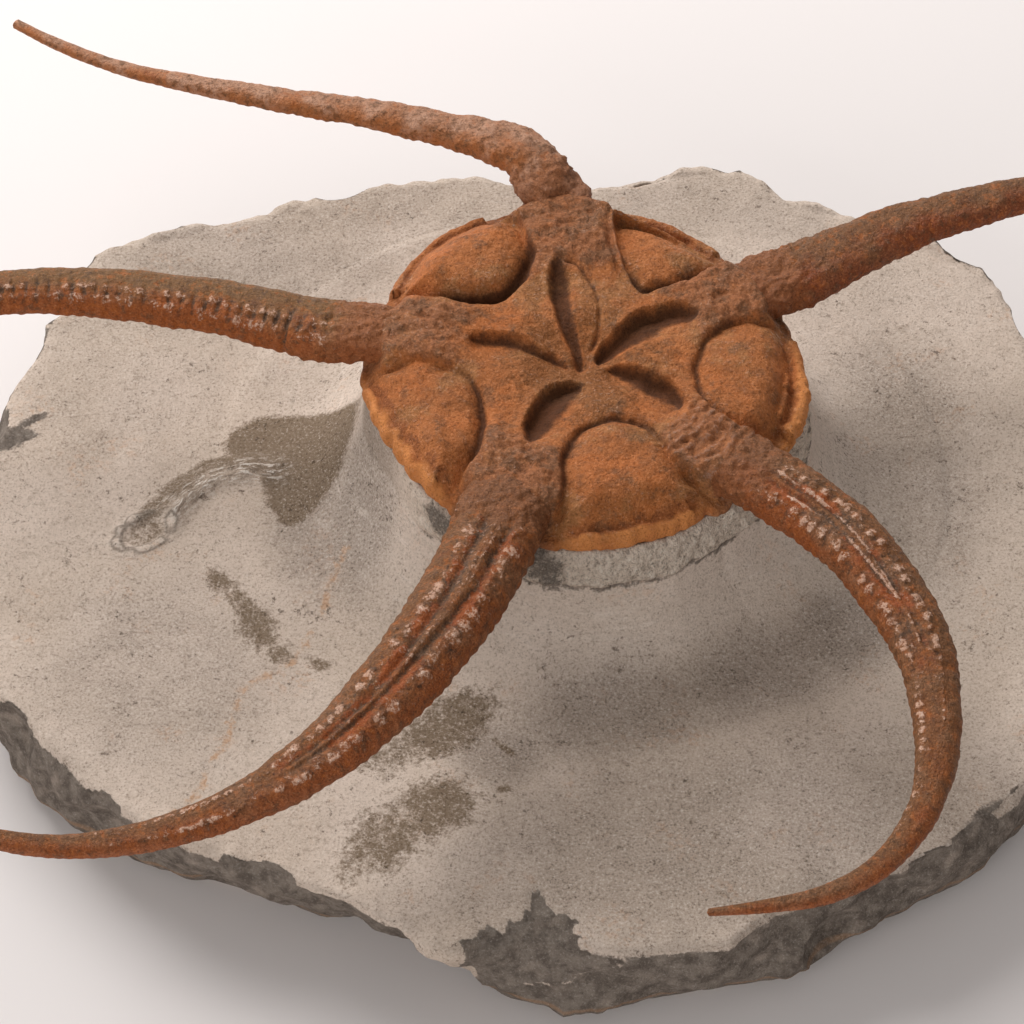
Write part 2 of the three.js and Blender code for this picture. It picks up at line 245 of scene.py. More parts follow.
def cloud(points, size, seed):
    """Smooth random values, about -1 to 1, in lumps of the given size."""
    order = np.random.default_rng(seed).permutation(256)
    slopes = np.random.default_rng(seed + 1).normal(size=(256, 3))
    slopes /= np.linalg.norm(slopes, axis=1)[:, None]
    cell = np.asarray(points, float).reshape(-1, 3) / size
    low = np.floor(cell).astype(int)
    part = cell - low
    ease = part**3 * (part * (part * 6 - 15) + 10)
    total = np.zeros(len(cell))
    for corner in itertools.product((0, 1), repeat=3):
        spot = (low + corner) & 255
        pick = order[(order[(order[spot[:, 0]] + spot[:, 1]) & 255] + spot[:, 2]) & 255]
        weight = np.prod(np.where(corner, ease, 1 - ease), axis=1)
        total += weight * ((part - corner) * slopes[pick]).sum(axis=1)
    return (1.6 * total).reshape(np.shape(points)[:-1])


def lumpy(points, layers):
    """Several clouds together, each given as its depth, lump size and seed."""
    return sum(depth * cloud(points, size, seed) for depth, size, seed in layers)


def line_distance(points, line):
    """How far each point is from a line on the flat, where along it, and on which side."""
    line = np.array(line, float)
    best = np.full(points.shape[:-1], np.inf)
    along = np.zeros_like(best)
    side = np.zeros_like(best)
    for number, (start, end) in enumerate(zip(line[:-1], line[1:])):
        way = end - start
        away = points[..., :2] - start
        share = np.clip((away @ way) / (way @ way), 0, 1)
        gap = np.linalg.norm(away - share[..., None] * way, axis=-1)
        along = np.where(gap < best, (number + share) / (len(line) - 1), along)
        side = np.where(gap < best, np.sign(way[0] * away[..., 1] - way[1] * away[..., 0]), side)
        best = np.minimum(best, gap)
    return best, along, side


def inside(points, outline, corners=64):
    """How far inside a smooth closed outline each point is: less than 0 outside it."""
    line = smooth_line(outline, corners, closed=True)
    x, y = points[..., 0], points[..., 1]
    within = np.zeros(x.shape, bool)
    for (ax, ay), (bx, by) in zip(line, np.roll(line, -1, axis=0)):
        crosses = (ay > y) != (by > y)
        within ^= crosses & (x < ax + (bx - ax) * (y - ay) / (by - ay + 1e-12))
    gap = line_distance(points, np.vstack([line, line[:1]]))[0]
    return np.where(within, gap, -gap)


def oval(points, x, y, length, width, turn):
    """0 at the middle of a turned oval on the flat, 1 on its edge, more beyond it."""
    c, s = math.cos(math.radians(turn)), math.sin(math.radians(turn))
    dx, dy = points[..., 0] - x, points[..., 1] - y
    return np.hypot((dx * c + dy * s) / length, (dy * c - dx * s) / width)


def strongest(points, places, edge, core):
    """The strength of the strongest of some soft ovals at each point."""
    found = [strength * step(edge, core, oval(points, *place)) for *place, strength in places]
    return np.maximum.reduce(found)


def grid_normals(grid):
    """The outward direction at each point of a grid of rings, ring by ring from the top."""
    turn = np.roll(grid, -1, axis=1) - np.roll(grid, 1, axis=1)
    normal = np.cross(np.gradient(grid, axis=0), turn)
    return normal / np.maximum(np.linalg.norm(normal, axis=-1), 1e-9)[..., None]


def add_marks(mesh, marks):
    """Stores a named value, or a named direction, at each point of a mesh."""
    for name, values in marks.items():
        kind, field = ("FLOAT", "value") if values.ndim == 1 else ("FLOAT_VECTOR", "vector")
        layer = mesh.attributes.new(name, kind, "POINT")
        layer.data.foreach_set(field, values.astype(np.float32).ravel())


def add_object(name, data):
    """Puts a new object in the scene."""
    added = bpy.data.objects.new(name, data)
    bpy.context.scene.collection.objects.link(added)
    return added


def closed_mesh(name, first, grid, last, material, marks):
    """A closed body of rings between two end points, with its marks at each point."""
    rings, sides = grid.shape[:2]
    points = np.vstack([[first], grid.reshape(-1, 3), [last]]) * MM
    number = 1 + np.arange(rings * sides).reshape(rings, sides)
    beside = np.roll(number, -1, axis=1)
    faces = np.stack([number[:-1], number[1:], beside[1:], beside[:-1]], axis=-1).reshape(-1, 4)
    fans = [(0, a, b) for a, b in zip(number[0], beside[0])]
    fans += [(len(points) - 1, b, a) for a, b in zip(number[-1], beside[-1])]
    mesh = bpy.data.meshes.new(name)
    mesh.from_pydata(points, [], faces.tolist() + [tuple(map(int, fan)) for fan in fans])
    mesh.shade_smooth()
    flat = {mark: values.reshape(rings * sides, -1) for mark, values in marks.items()}
    flat = {mark: np.concatenate([v[[0]], v, v[[-sides]]]) for mark, v in flat.items()}
    add_marks(mesh, {mark: v[:, 0] if v.shape[1] == 1 else v for mark, v in flat.items()})
    mesh.materials.append(material)
    return add_object(name, mesh)


def tint(red, green, blue):
    """A colour given as seen on a screen, 0 to 255, as light values."""
    share = [value / 255 for value in (red, green, blue)]
    return [s / 12.92 if s < 0.04045 else ((s + 0.055) / 1.055) ** 2.4 for s in share] + [1.0]


def feed(node, slots):
    """Sets some slots of a node, or links them to what other nodes work out."""
    for slot, value in slots.items():
        if isinstance(value, Worked):
            value.tree.links.new(value.socket, node.inputs[slot])
        else:
            node.inputs[slot].default_value = value


def work_out(tree, kind, output, slots, **settings):
    """Adds a node to a tree, and gives one of the values it works out."""
    node = tree.nodes.new(kind)
    for name, value in settings.items():
        setattr(node, name, value)
    feed(node, slots)
    return Worked(tree, node.outputs[output])


class Worked:
    """A value inside a node tree. Sums on it add the nodes that work them out."""

    def __init__(self, tree, socket):
        self.tree, self.socket = tree, socket

    def sum(self, operation, *others, first=None):
        terms = enumerate((self if first is None else first, *others))
        return work_out(self.tree, "ShaderNodeMath", 0, dict(terms), operation=operation)

    def __add__(self, other):
        return self.sum("ADD", other)

    def __sub__(self, other):
        return self.sum("SUBTRACT", other)

    def __rsub__(self, other):
        return self.sum("SUBTRACT", self, first=other)

    def __mul__(self, other):
        return self.sum("MULTIPLY", other)

    __radd__, __rmul__ = __add__, __mul__

    def rise(self, start, end):
        """Rises smoothly from 0 where the value is start to 1 where it is end."""
        ends = (min(start, end), max(start, end), float(start > end), float(start < end))
        return work_out(self.tree, "ShaderNodeMapRange", 0, dict(enumerate((self, *ends))),
                        interpolation_type="SMOOTHSTEP")


class Finish:
    """A material painted in layers, from the piece's own coordinates and marks."""

    def __init__(self, name, palette, specular):
        self.material = bpy.data.materials.new(name)
        self.material.use_nodes = True
        self.tree = self.material.node_tree
        self.shader = self.tree.nodes["Principled BSDF"]
        self.shader.inputs["Specular IOR Level"].default_value = specular
        self.place = work_out(self.tree, "ShaderNodeTexCoord", "Object", {})
        self.palette = {shade: tint(*colour) for shade, colour in palette.items()}

    def mark(self, name, output="Fac"):
        return work_out(self.tree, "ShaderNodeAttribute", output, {}, attribute_name=name)

    def noise(self, size, detail=2.0, roughness=0.5, place=None):
        """Cloudy values, mostly 0.3 to 0.7, in lumps of a size in millimetres."""
        slots = {"Scale": 1 / (size * MM), "Detail": detail, "Roughness": roughness}
        slots["Vector"] = place or self.place
        return work_out(self.tree, "ShaderNodeTexNoise", "Fac", slots)

    def stretched(self, along, across):
        """Coordinates drawn out along the grain that the sweep mark gives."""
        slots = {0: self.mark("sweep", "Vector"), 1: (1 / along, 1 / across, 1 / across)}
        return work_out(self.tree, "ShaderNodeVectorMath", 0, slots, operation="MULTIPLY")

    def blend(self, share, first, second, kind="MIX"):
        """One colour turning into another, or darkened by it, as share goes from 0 to 1."""
        slots = {0: share, 6: self.palette.get(first, first), 7: self.palette.get(second, second)}
        return work_out(self.tree, "ShaderNodeMix", 2, slots, data_type="RGBA", blend_type=kind)

    def paint(self, share, colour, kind="MIX"):
        """Adds a layer of colour over the ones before it."""
        self.colour = self.blend(share, self.colour, colour, kind)

    def done(self, height, depth, roughness):
        """Sets the colour, the roughness and a fine relief of a depth in millimetres."""
        slots = {"Strength": 1.0, "Distance": depth * MM, "Height": height}
        normal = work_out(self.tree, "ShaderNodeBump", "Normal", slots)
        feed(self.shader, {"Base Color": self.colour, "Roughness": roughness, "Normal": normal})
        return self.material


def sandstone():
    """Warm grey sandstone: fine pale and dark grains, stains, painted shade and shadows, and dark
    where it broke.
    """
    rock = Finish("sandstone", SANDSTONE, specular=0.12)
    grain = rock.noise(0.26, 3, 0.75)
    coarse = rock.noise(0.8, 3, 0.6)
    clump = rock.noise(4, 3)
    strands = rock.noise(1, 3, 0.65, rock.stretched(1.7, 0.4))
    pecks = rock.noise(0.42, 4, 0.75)
    fibres = rock.noise(1, 4, 0.75, rock.stretched(0.24, 0.7))
    ground, tube, collar = rock.mark("ground"), rock.mark("tube"), rock.mark("collar")
    rock.colour = rock.blend(rock.noise(14, 3).rise(0.35, 0.65), "pale sand", "buff sand")
    rock.paint(coarse.rise(0.5, 0.7) * 0.4, "grey pores")
    rust = rock.noise(6).rise(0.56, 0.7) * rock.noise(0.6).rise(0.5, 0.62)
    rock.paint(rust * 0.35, "rust freckles")
    # Painted shade: wide darker patches where the light is weaker and where the pedestal and arms
    # cast shadows.
    shade = (rock.mark("shade") + (clump - 0.5) * 0.5).rise(0, 1.4)
    rock.paint(shade, "shade", "MULTIPLY")
    ragged = (coarse - 0.5) * 1.5 + (clump - 0.5) * 0.9 + (grain - 0.5) * 0.9
    # Stains; the patches below the front left arm are partly its painted shadow.
    rock.paint((rock.mark("stain_and_shadow") + ragged).rise(0.2, 1), "stain_and_shadow")
    vein = (rock.mark("vein") + (coarse - 0.5) * 2).rise(0.55, 0.05)
    rock.paint(vein * rock.noise(1.8, 3).rise(0.36, 0.54) * 0.75, "vein")
    rock.paint(ground * 0.25, "ground")
    rock.paint(strands.rise(0.54, 0.68) * ground * 0.3, "ground streaks")
    rock.paint(tube * 0.6, "tube")
    rock.paint(tube * strands.rise(0.52, 0.62) * 0.85, "tube ridges")
    rock.paint(tube * strands.rise(0.46, 0.36) * 0.6, "tube creases")
    ring = rock.mark("ring")
    rock.paint(ring * (coarse.rise(0.42, 0.56) * 0.6 + 0.05), "ring")
    rock.paint(ring.rise(0.15, 0.4) * ring.rise(0.75, 0.45) * 0.6, "ring shadow")
    raw = rock.blend(rock.noise(1.5, 4, 0.6).rise(0.35, 0.65), "broken", "broken dark")
    raw = rock.blend(rock.noise(2.4, 3).rise(0.52, 0.75) * 0.5, raw, "broken pale")
    broken = (rock.mark("broken") + ragged * 0.5).rise(0.38, 0.72)
    rock.paint(broken, raw)
    rock.paint(rock.mark("skin").rise(0.5, 0.9) * 0.6, "foot rust")
    rock.paint(collar * 0.85, "collar")
    rock.paint(collar * (pecks + clump * 0.1).rise(0.6, 0.76) * 0.6, "collar pits")
    rock.paint(collar * fibres.rise(0.47, 0.36) * 0.6, "collar creases")
    rock.paint(collar * fibres.rise(0.52, 0.62) * 0.7, "collar fibres")
    # Painted shadow: a dark ragged line under the collar's lip, joined by the black smudges beside
    # the arms.
    lip_shadow_and_smudges = rock.mark("lip_shadow_and_smudges") + (fibres - 0.5) * 2 + (coarse - 0.5) * 1.4 + (grain - 0.5)
    rock.paint(lip_shadow_and_smudges.rise(0.35, 1.2) * 0.8, "lip_shadow_and_smudges")
    even = 1 - broken * 0.55
    strength = (shade * 0.35 + 0.65) * even
    rock.paint(grain.rise(0.49, 0.74) * strength, "dark grains", "MULTIPLY")
    rock.paint(grain.rise(0.48, 0.26) * strength * 0.5, "pale grains")
    specks = rock.noise(0.7, 4, 0.75) + clump * 0.25
    rock.paint(specks.rise(0.72, 0.84) * even * 0.8, "black specks", "MULTIPLY")
    relief = grain + coarse * 0.5 + strands * (ground * 1.6 + tube * 3)
    relief = relief + (pecks + fibres) * collar * 5 + rock.mark("broken") * coarse * 2.5
    return rock.done(relief, depth=0.1, roughness=0.92)


def stone_grid():
    """The stone's surface in rings from the middle of its top, down its edge, and under."""
    degrees = np.arange(STONE_SIDES) * 360 / STONE_SIDES - 180
    angle = np.radians(degrees)
    edge, foot, rim = (around(outline, degrees) for outline in (SLAB_EDGE, SLAB_FOOT, DISC_RIM))
    spread = 1 + FLARE_AT_SIDES * np.cos(angle) ** 2
    slab_top = SLAB_TOP + BACK_RISE * np.maximum(0, np.sin(angle))
    floor = slab_top - (SLAB_TOP - MOAT_FLOOR) * step(0.7, -0.2, np.sin(angle))
    rings = [(CAP_RADIUS, PEDESTAL_TOP)]
    for out, height in smooth_line(WALL, WALL_RINGS):
        raised = height + (floor - MOAT_FLOOR) * step(3, WALL[-1][0], out)
        rings.append((rim + np.where(out > 0, out * spread, out), raised))
    flare_end, flare_height = rings[-1]
    for share in np.linspace(0, 1, SLAB_RINGS)[1:]:
        radius = mix(flare_end, edge - EDGE_BEVEL, share)
        hollow = mix(flare_height, floor, step(flare_end - 4, flare_end + 4, radius))
        rings.append((radius, mix(hollow, slab_top, step(flare_end - 3, edge + 2, radius))))
    rings.append((edge - 0.25, slab_top - 0.25))
    for share in np.linspace(0, 1, EDGE_RINGS):
        radius = mix(edge, foot, share) + EDGE_BULGE * math.sin(math.pi * share)
        rings.append((radius, mix(slab_top - EDGE_BEVEL, FOOT_HEIGHT, share)))
    for share in (0.35, 0.7, 1):
        rings.append((foot - FOOT_BEVEL * share**1.6, FOOT_HEIGHT * (1 - share)))
    rings.append((0.5 * foot, 0))
    return np.array([at(radius, angle, height) for radius, height in rings])


def build_stone():
    grid = stone_grid()
    radius = np.hypot(grid[..., 0], grid[..., 1])
    bearing = np.arctan2(grid[..., 1], grid[..., 0])
    edge_start = WALL_RINGS + SLAB_RINGS
    ring = np.arange(len(grid))[:, None] + 0 * radius
    on_edge = step(edge_start - 6, edge_start + 1, ring)
    above = step(0, FOOT_HEIGHT, grid[..., 2])
    foot_height = COLLAR_FOOT + lumpy(grid * (1, 1, 0), COLLAR_FOOT_LUMPS)
    in_front = step(-0.35, 0.25, np.cos(bearing - math.radians(COLLAR_FACES)))
    collar = step(foot_height - 0.25, foot_height + 0.25, grid[..., 2])
    collar = collar * (ring > 0) * (radius < COLLAR_RADIUS)
    wall = step(11.5, 15, grid[..., 2]) * (radius < MOAT_RADIUS) * (ring > 0)

    push = mix(lumpy(grid, GROUND_LUMPS), lumpy(grid, BROKEN_LUMPS), on_edge) * (ring > 1)
    pecked = (COLLAR_PROUD + lumpy(grid, COLLAR_LUMPS)) * in_front * (ring > 3)
    push = mix(push, pecked, collar)
    grid = grid + grid_normals(grid) * (push * above)[..., None]

    # Each flake that was struck off leaves a round scoop.
    chance = np.random.default_rng(SCOOP_SEED)
    scoops = list(STRUCK)
    for turn in np.arange(-180, 180, SCOOP_EVERY):
        size = chance.uniform(*SCOOP_RADIUS)
        out = around(SLAB_EDGE, turn) + 0.78 * size
        scoop = (turn + chance.uniform(-3, 3), out, chance.uniform(*SCOOP_HEIGHT), size)
        if not FLAKE_SIDES[0] < turn < FLAKE_SIDES[1]:
            scoops.append(scoop)
    wavy = bearing + lumpy(grid, OVERHANG_WAVES)
    late = edge_start + OVERHANG_RINGS * hump(wavy, *OVERHANG, power=4)
    broken = step(late + 0.4, late + 1.6, ring) * (above > 0)
    for turn, out, height, size in scoops:
        middle = at(out, math.radians(turn), height)
        away = grid - middle
        gap = np.linalg.norm(away, axis=-1)
        cut = (gap < size) & (above > 0)
        pushed = middle + away * (size / np.maximum(gap, 1e-6))[..., None]
        grid = np.where(cut[..., None], pushed, grid)
        broken = np.maximum(broken, cut * 1.0)
    grid[..., 2] = np.maximum(grid[..., 2], 0)

    flaked = inside(grid, FLAKE, 120) + 0.3 * cloud(grid * (1, 1, 0), 0.8, 97)
    grid[..., 2] -= FLAKE_DEPTH * step(0, 0.3, flaked) * above
    broken = np.maximum(broken, step(-0.1, 0.1, flaked) * (above > 0))
    seam_gap = line_distance(grid[..., [0, 2]], SEAM)[0] + 0.2 * cloud(grid, 0.9, 98)
    broken *= 1 - SEAM_PALENESS * hump(seam_gap, 0, SEAM_WIDTH) * (grid[..., 1] < -50)

    # The little tube, with a raised ring round its open end.
    gap, along, side = line_distance(grid, smooth_line(TUBE, 24))
    on_top = (ring < edge_start) & (grid[..., 2] < PEDESTAL_TOP - 0.5)
    end = oval(grid, *TUBE_END)
    tube = hump(gap, 0, TUBE_HALF_WIDTH) * step(1, 0.85, along) * step(0.95, 1.25, end) * on_top
    end_ring = hump(end, 1, TUBE_RING_WIDTH) * on_top * step(-0.9, 0.4, cloud(grid, 1.3, 93))
    knots = 1 + lumpy(grid, TUBE_KNOTS)
    raised = TUBE_HEIGHT * tube * mix(1, 0.6, along) + TUBE_RING_HEIGHT * end_ring
    grid[..., 2] += raised * knots - 0.15 * step(0.85, 0.6, end)

    stain_and_shadow = np.maximum(1.25 * step(-1.1, 0.8, inside(grid, DARK_PATCH)), 0.7 * step(0.95, 0.6, end))
    # The smaller patches below the front left arm are partly painted shadow of that arm.
    stain_and_shadow = np.maximum(stain_and_shadow, strongest(grid, STAINS_AND_SHADOWS, 1.7, 0.4))
    chipped = strongest(grid, [(*place, 0.8) for place in CHIPS], 1.6, 0.5)
    # Painted shadow: a dark ragged line just under the collar's lip; the black smudges are added to
    # it below.
    foot_line = hump(grid[..., 2] - foot_height, -0.25, 0.38) * (radius < COLLAR_RADIUS)
    lip_shadow_and_smudges = foot_line * (1.15 + 0.9 * cloud(grid * (1, 1, 0), 1.6, 95)) * in_front
    for x, y, z, size in SMUDGES:
        away = np.linalg.norm(grid - (x, y, z), axis=-1) / size
        lip_shadow_and_smudges = np.maximum(lip_shadow_and_smudges, 1.2 * step(1.4, 0.4, away))
    marks = {
        "broken": np.maximum(broken, chipped * on_top),
        "stain_and_shadow": stain_and_shadow * on_top,
        "shade": strongest(grid, PAINTED_SHADES, 1.5, 0.3),
        "vein": np.where(on_top, np.minimum(line_distance(grid, VEIN)[0], 5), 5),
        "ground": wall * (1 - collar) * step(2, 4, gap) * np.clip(1 - stain_and_shadow, 0, 1),
        "skin": hump(grid[..., 2], FOOT_HEIGHT, 0.5) * (ring > edge_start + 2),
        "collar": collar * in_front, "tube": tube, "ring": end_ring, "lip_shadow_and_smudges": lip_shadow_and_smudges,
    }
    # The grain of the ground wall runs round it, that of the tube along it.
    round_wall = (12 * np.cos(bearing), grid[..., 2] + 0.3 * radius, 3 * np.sin(bearing))
    along_tube = (along * 22, side * gap, 0 * gap)
    near_tube = (gap < 3)[..., None]
    marks["sweep"] = np.where(near_tube, np.stack(along_tube, -1), np.stack(round_wall, -1)) * MM
    return closed_mesh("stone", (0, 0, PEDESTAL_TOP), grid, (0, 0, 0), sandstone(), marks)


stone = build_stone()
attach(stone, "root")
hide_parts("matrix")


# ------------------------------------------------------------------- the disc
# The star's body, mouth side up: a thin plate of iron-stained stone that sits on the
# collar. Five pillow-like lobes lie between the arms inside a thin bright rim, and
# five slits run from the mouth towards the arms over rough, raised plateaus.

DISC_SIDES = 600
DISC_RINGS = 128
DISC_BOTTOM = 25.1
BOTTOM_RADIUS = 10
# The disc's side from its top down: how far inside the rim, and the share of the drop.
DISC_SIDE = [(0.12, 0.1), (0, 0.3), (-0.05, 0.55), (0.15, 0.8), (0.5, 1)]
RIM_TOP = 27.4
RIM_WIDTH = 1.7
MOUTH_TOP = 28.3
JAW_TOP = 29.5
PLATEAU_TOP = 30.4
ARM_AXIS = 28.25
ARM_HALF_HEIGHT = 2.7
# Each arm's direction, how far out it joins the disc, and its width there.
ROOTS = {
    "arm_back": (96, 23.2, 9.4), "arm_right": (30, 21.7, 7.9),
    "arm_front_right": (-40, 21.4, 7.8), "arm_front_left": (-113, 21, 9.4),
    "arm_left": (168, 22, 7.2),
}
# Each lobe: its outline, the heights of its edge and crest, which way the step down to
# it from the plateau is deepest, and how deep the trough at its foot is there, which
# also sets how dark its painted shade is.
LOBES = [
    ([(-18.9, 8.9), (-18.4, 11.2), (-16.9, 14.8), (-13.3, 18.3), (-9.9, 19.8), (-7.1, 19.7),
      (-5.7, 16.6), (-5.1, 13.7), (-5.8, 11), (-8, 8.5), (-11.1, 7.9), (-13.9, 8.4)],
     28.9, 30.5, -50, 1.0),
    ([(3.5, 19), (6.4, 18.8), (10.1, 17.1), (12.9, 15.2), (14.6, 13.3), (12.2, 11.6),
      (9.4, 10), (6.3, 9.5), (4.9, 11), (4.1, 13.7)], 29.1, 29.8, -75, 0.6),
    ([(11.5, 0.1), (12.3, 2.6), (14.8, 4.6), (17.6, 5.6), (19.9, 5.4), (20.5, 1.7),
      (20.3, -3.1), (19.5, -7.1), (18.2, -9.5), (16.2, -9.1), (13.8, -7.5), (11.8, -5.5),
      (11.2, -2.7)], 29.5, 30.3, 165, 0.15),
    ([(-3.4, -20.6), (-2.3, -18), (-2, -14.9), (-2, -12), (-0.4, -9.3), (2, -7.7), (5, -7.8),
      (7.1, -9.8), (8.6, -12.6), (10.6, -14.9), (13, -16.1), (11.3, -17.4), (7.5, -19.1),
      (2.5, -20.4)], 29.4, 30.4, 130, 0.25),
    ([(-20.8, -0.9), (-19, -0.1), (-15.7, -0.1), (-12.9, -1.1), (-10.7, -3.5), (-9.8, -6.7),
      (-9.9, -9.8), (-11, -13), (-12.5, -15.8), (-13.8, -16.7), (-16, -14.3), (-18.3, -10.7),
      (-20, -6.3)], 29.3, 30.2, -15, 0.5),
]
# Each slit: its outline, its depth, which side of it is the steep one, and how far
# from there the painted shade reaches across its floor.
SLITS = [
    ([(-2.4, 13.1), (-3, 12), (-3.1, 9.6), (-2.6, 6.4), (-1.8, 3.6), (-1, 1.6), (-0.3, 0),
      (0.1, 0.2), (0.1, 2), (-0.2, 4.2), (-0.7, 6.8), (-0.9, 9.3), (-1, 11.4), (-1.6, 12.8)],
     1.2, 178, 0.8),
    ([(1.4, 1), (3.3, 3.8), (6, 6.2), (9.1, 7), (11.5, 5.9), (10.9, 4.8), (9.4, 4.4),
      (7.7, 3), (4.8, 1.4), (2.3, 0.6)], 1.7, 125, 0.76),
    ([(2.4, -0.5), (4.8, -0.7), (7.4, -2), (9.2, -4.1), (9.7, -6.1), (8.3, -7.2), (5.3, -6),
      (2.9, -3.5)], 1.6, 48, 0.45),
    ([(-0.3, -2.4), (-2.3, -2.8), (-4.4, -5.2), (-5.7, -8.1), (-5.5, -10.6), (-4.3, -10.7),
      (-1.8, -8.7), (-0.1, -5.6), (0.1, -3.3)], 1.5, 155, 0.72),
    ([(-11.4, 2.7), (-9.6, 3.4), (-6.8, 2.9), (-4, 1.7), (-1.8, 0.2), (-1.9, -0.4), (-4.9, 0),
      (-8.6, 0.7), (-11.1, 1.3)], 1.2, 82, 0.4),
]
# The leaf-like plate beside the slit that points to the back arm: its middle, half
# length, half width and turn, how high it stands, and its other edge.
LEAF = (-0.2, 7.3, 6, 1.9, 92)
LEAF_HEIGHT = 0.35
LEAF_EDGE = [
    (-1.5, 12.9), (-0.6, 12.5), (0.4, 11.1), (1.2, 9.4), (1.6, 7.8), (1.8, 6.2), (1.6, 4.1),
    (0.9, 2),
]
# The fine raised line along the edge of the lobe right of the back arm.
LINE_HEIGHT = 0.35
# Low cross ribs on the plateau of the front right arm: where along it they lie.
RIBS = (12.2, 20.5)
RIB_SPACING = 1.25
RIB_HEIGHT = 0.09
# Unevenness of the raw plateaus, of the whole top and of the rim: depth, size and seed.
# The bent ones follow the same wavy coordinates as the outlines of the lobes and slits.
RAW_LUMPS, BENT_RAW_LUMPS = [(0.24, 0.9, 33), (0.18, 0.5, 35)], [(0.36, 1.9, 31)]
TOP_LUMPS = [(0.28, 4.5, 37), (0.045, 0.4, 43)]
BENT_TOP_LUMPS = [(0.13, 1.7, 39), (0.08, 0.8, 41)]
RIM_LUMPS = [(0.3, 1.6, 51), (0.2, 0.7, 53)]
OUTLINE_WAVES = (0.35, 2.6, (81, 83, 85))
DISC_COLOURS = {
    "orange brown": (172, 103, 54), "brown": (158, 92, 44), "olive": (150, 106, 64),
    "rusty": (186, 104, 48), "pores": (128, 78, 44), "bright grains": (204, 128, 74),
    "plateau": (143, 91, 58), "jaw": (130, 78, 35), "rim groove": (122, 64, 28),
    "rim": (214, 138, 76), "worn rim": (222, 162, 114), "dirt": (92, 68, 48),
    "hollow": (72, 40, 20), "dark grains": (138, 124, 110), "pale grains": (226, 158, 112),
    "worn tops and highlights": (206, 160, 136), "painted glints": (222, 176, 146),
}


def toward(x, y, degrees):
    """How far a point lies in a direction on the flat."""
    return x * math.cos(math.radians(degrees)) + y * math.sin(math.radians(degrees))


def nearest(points, spots):
    """How far each point is from the nearest of some spots on the flat."""
    away = points[..., None, :2] - spots
    return np.hypot(away[..., 0], away[..., 1]).min(axis=-1)


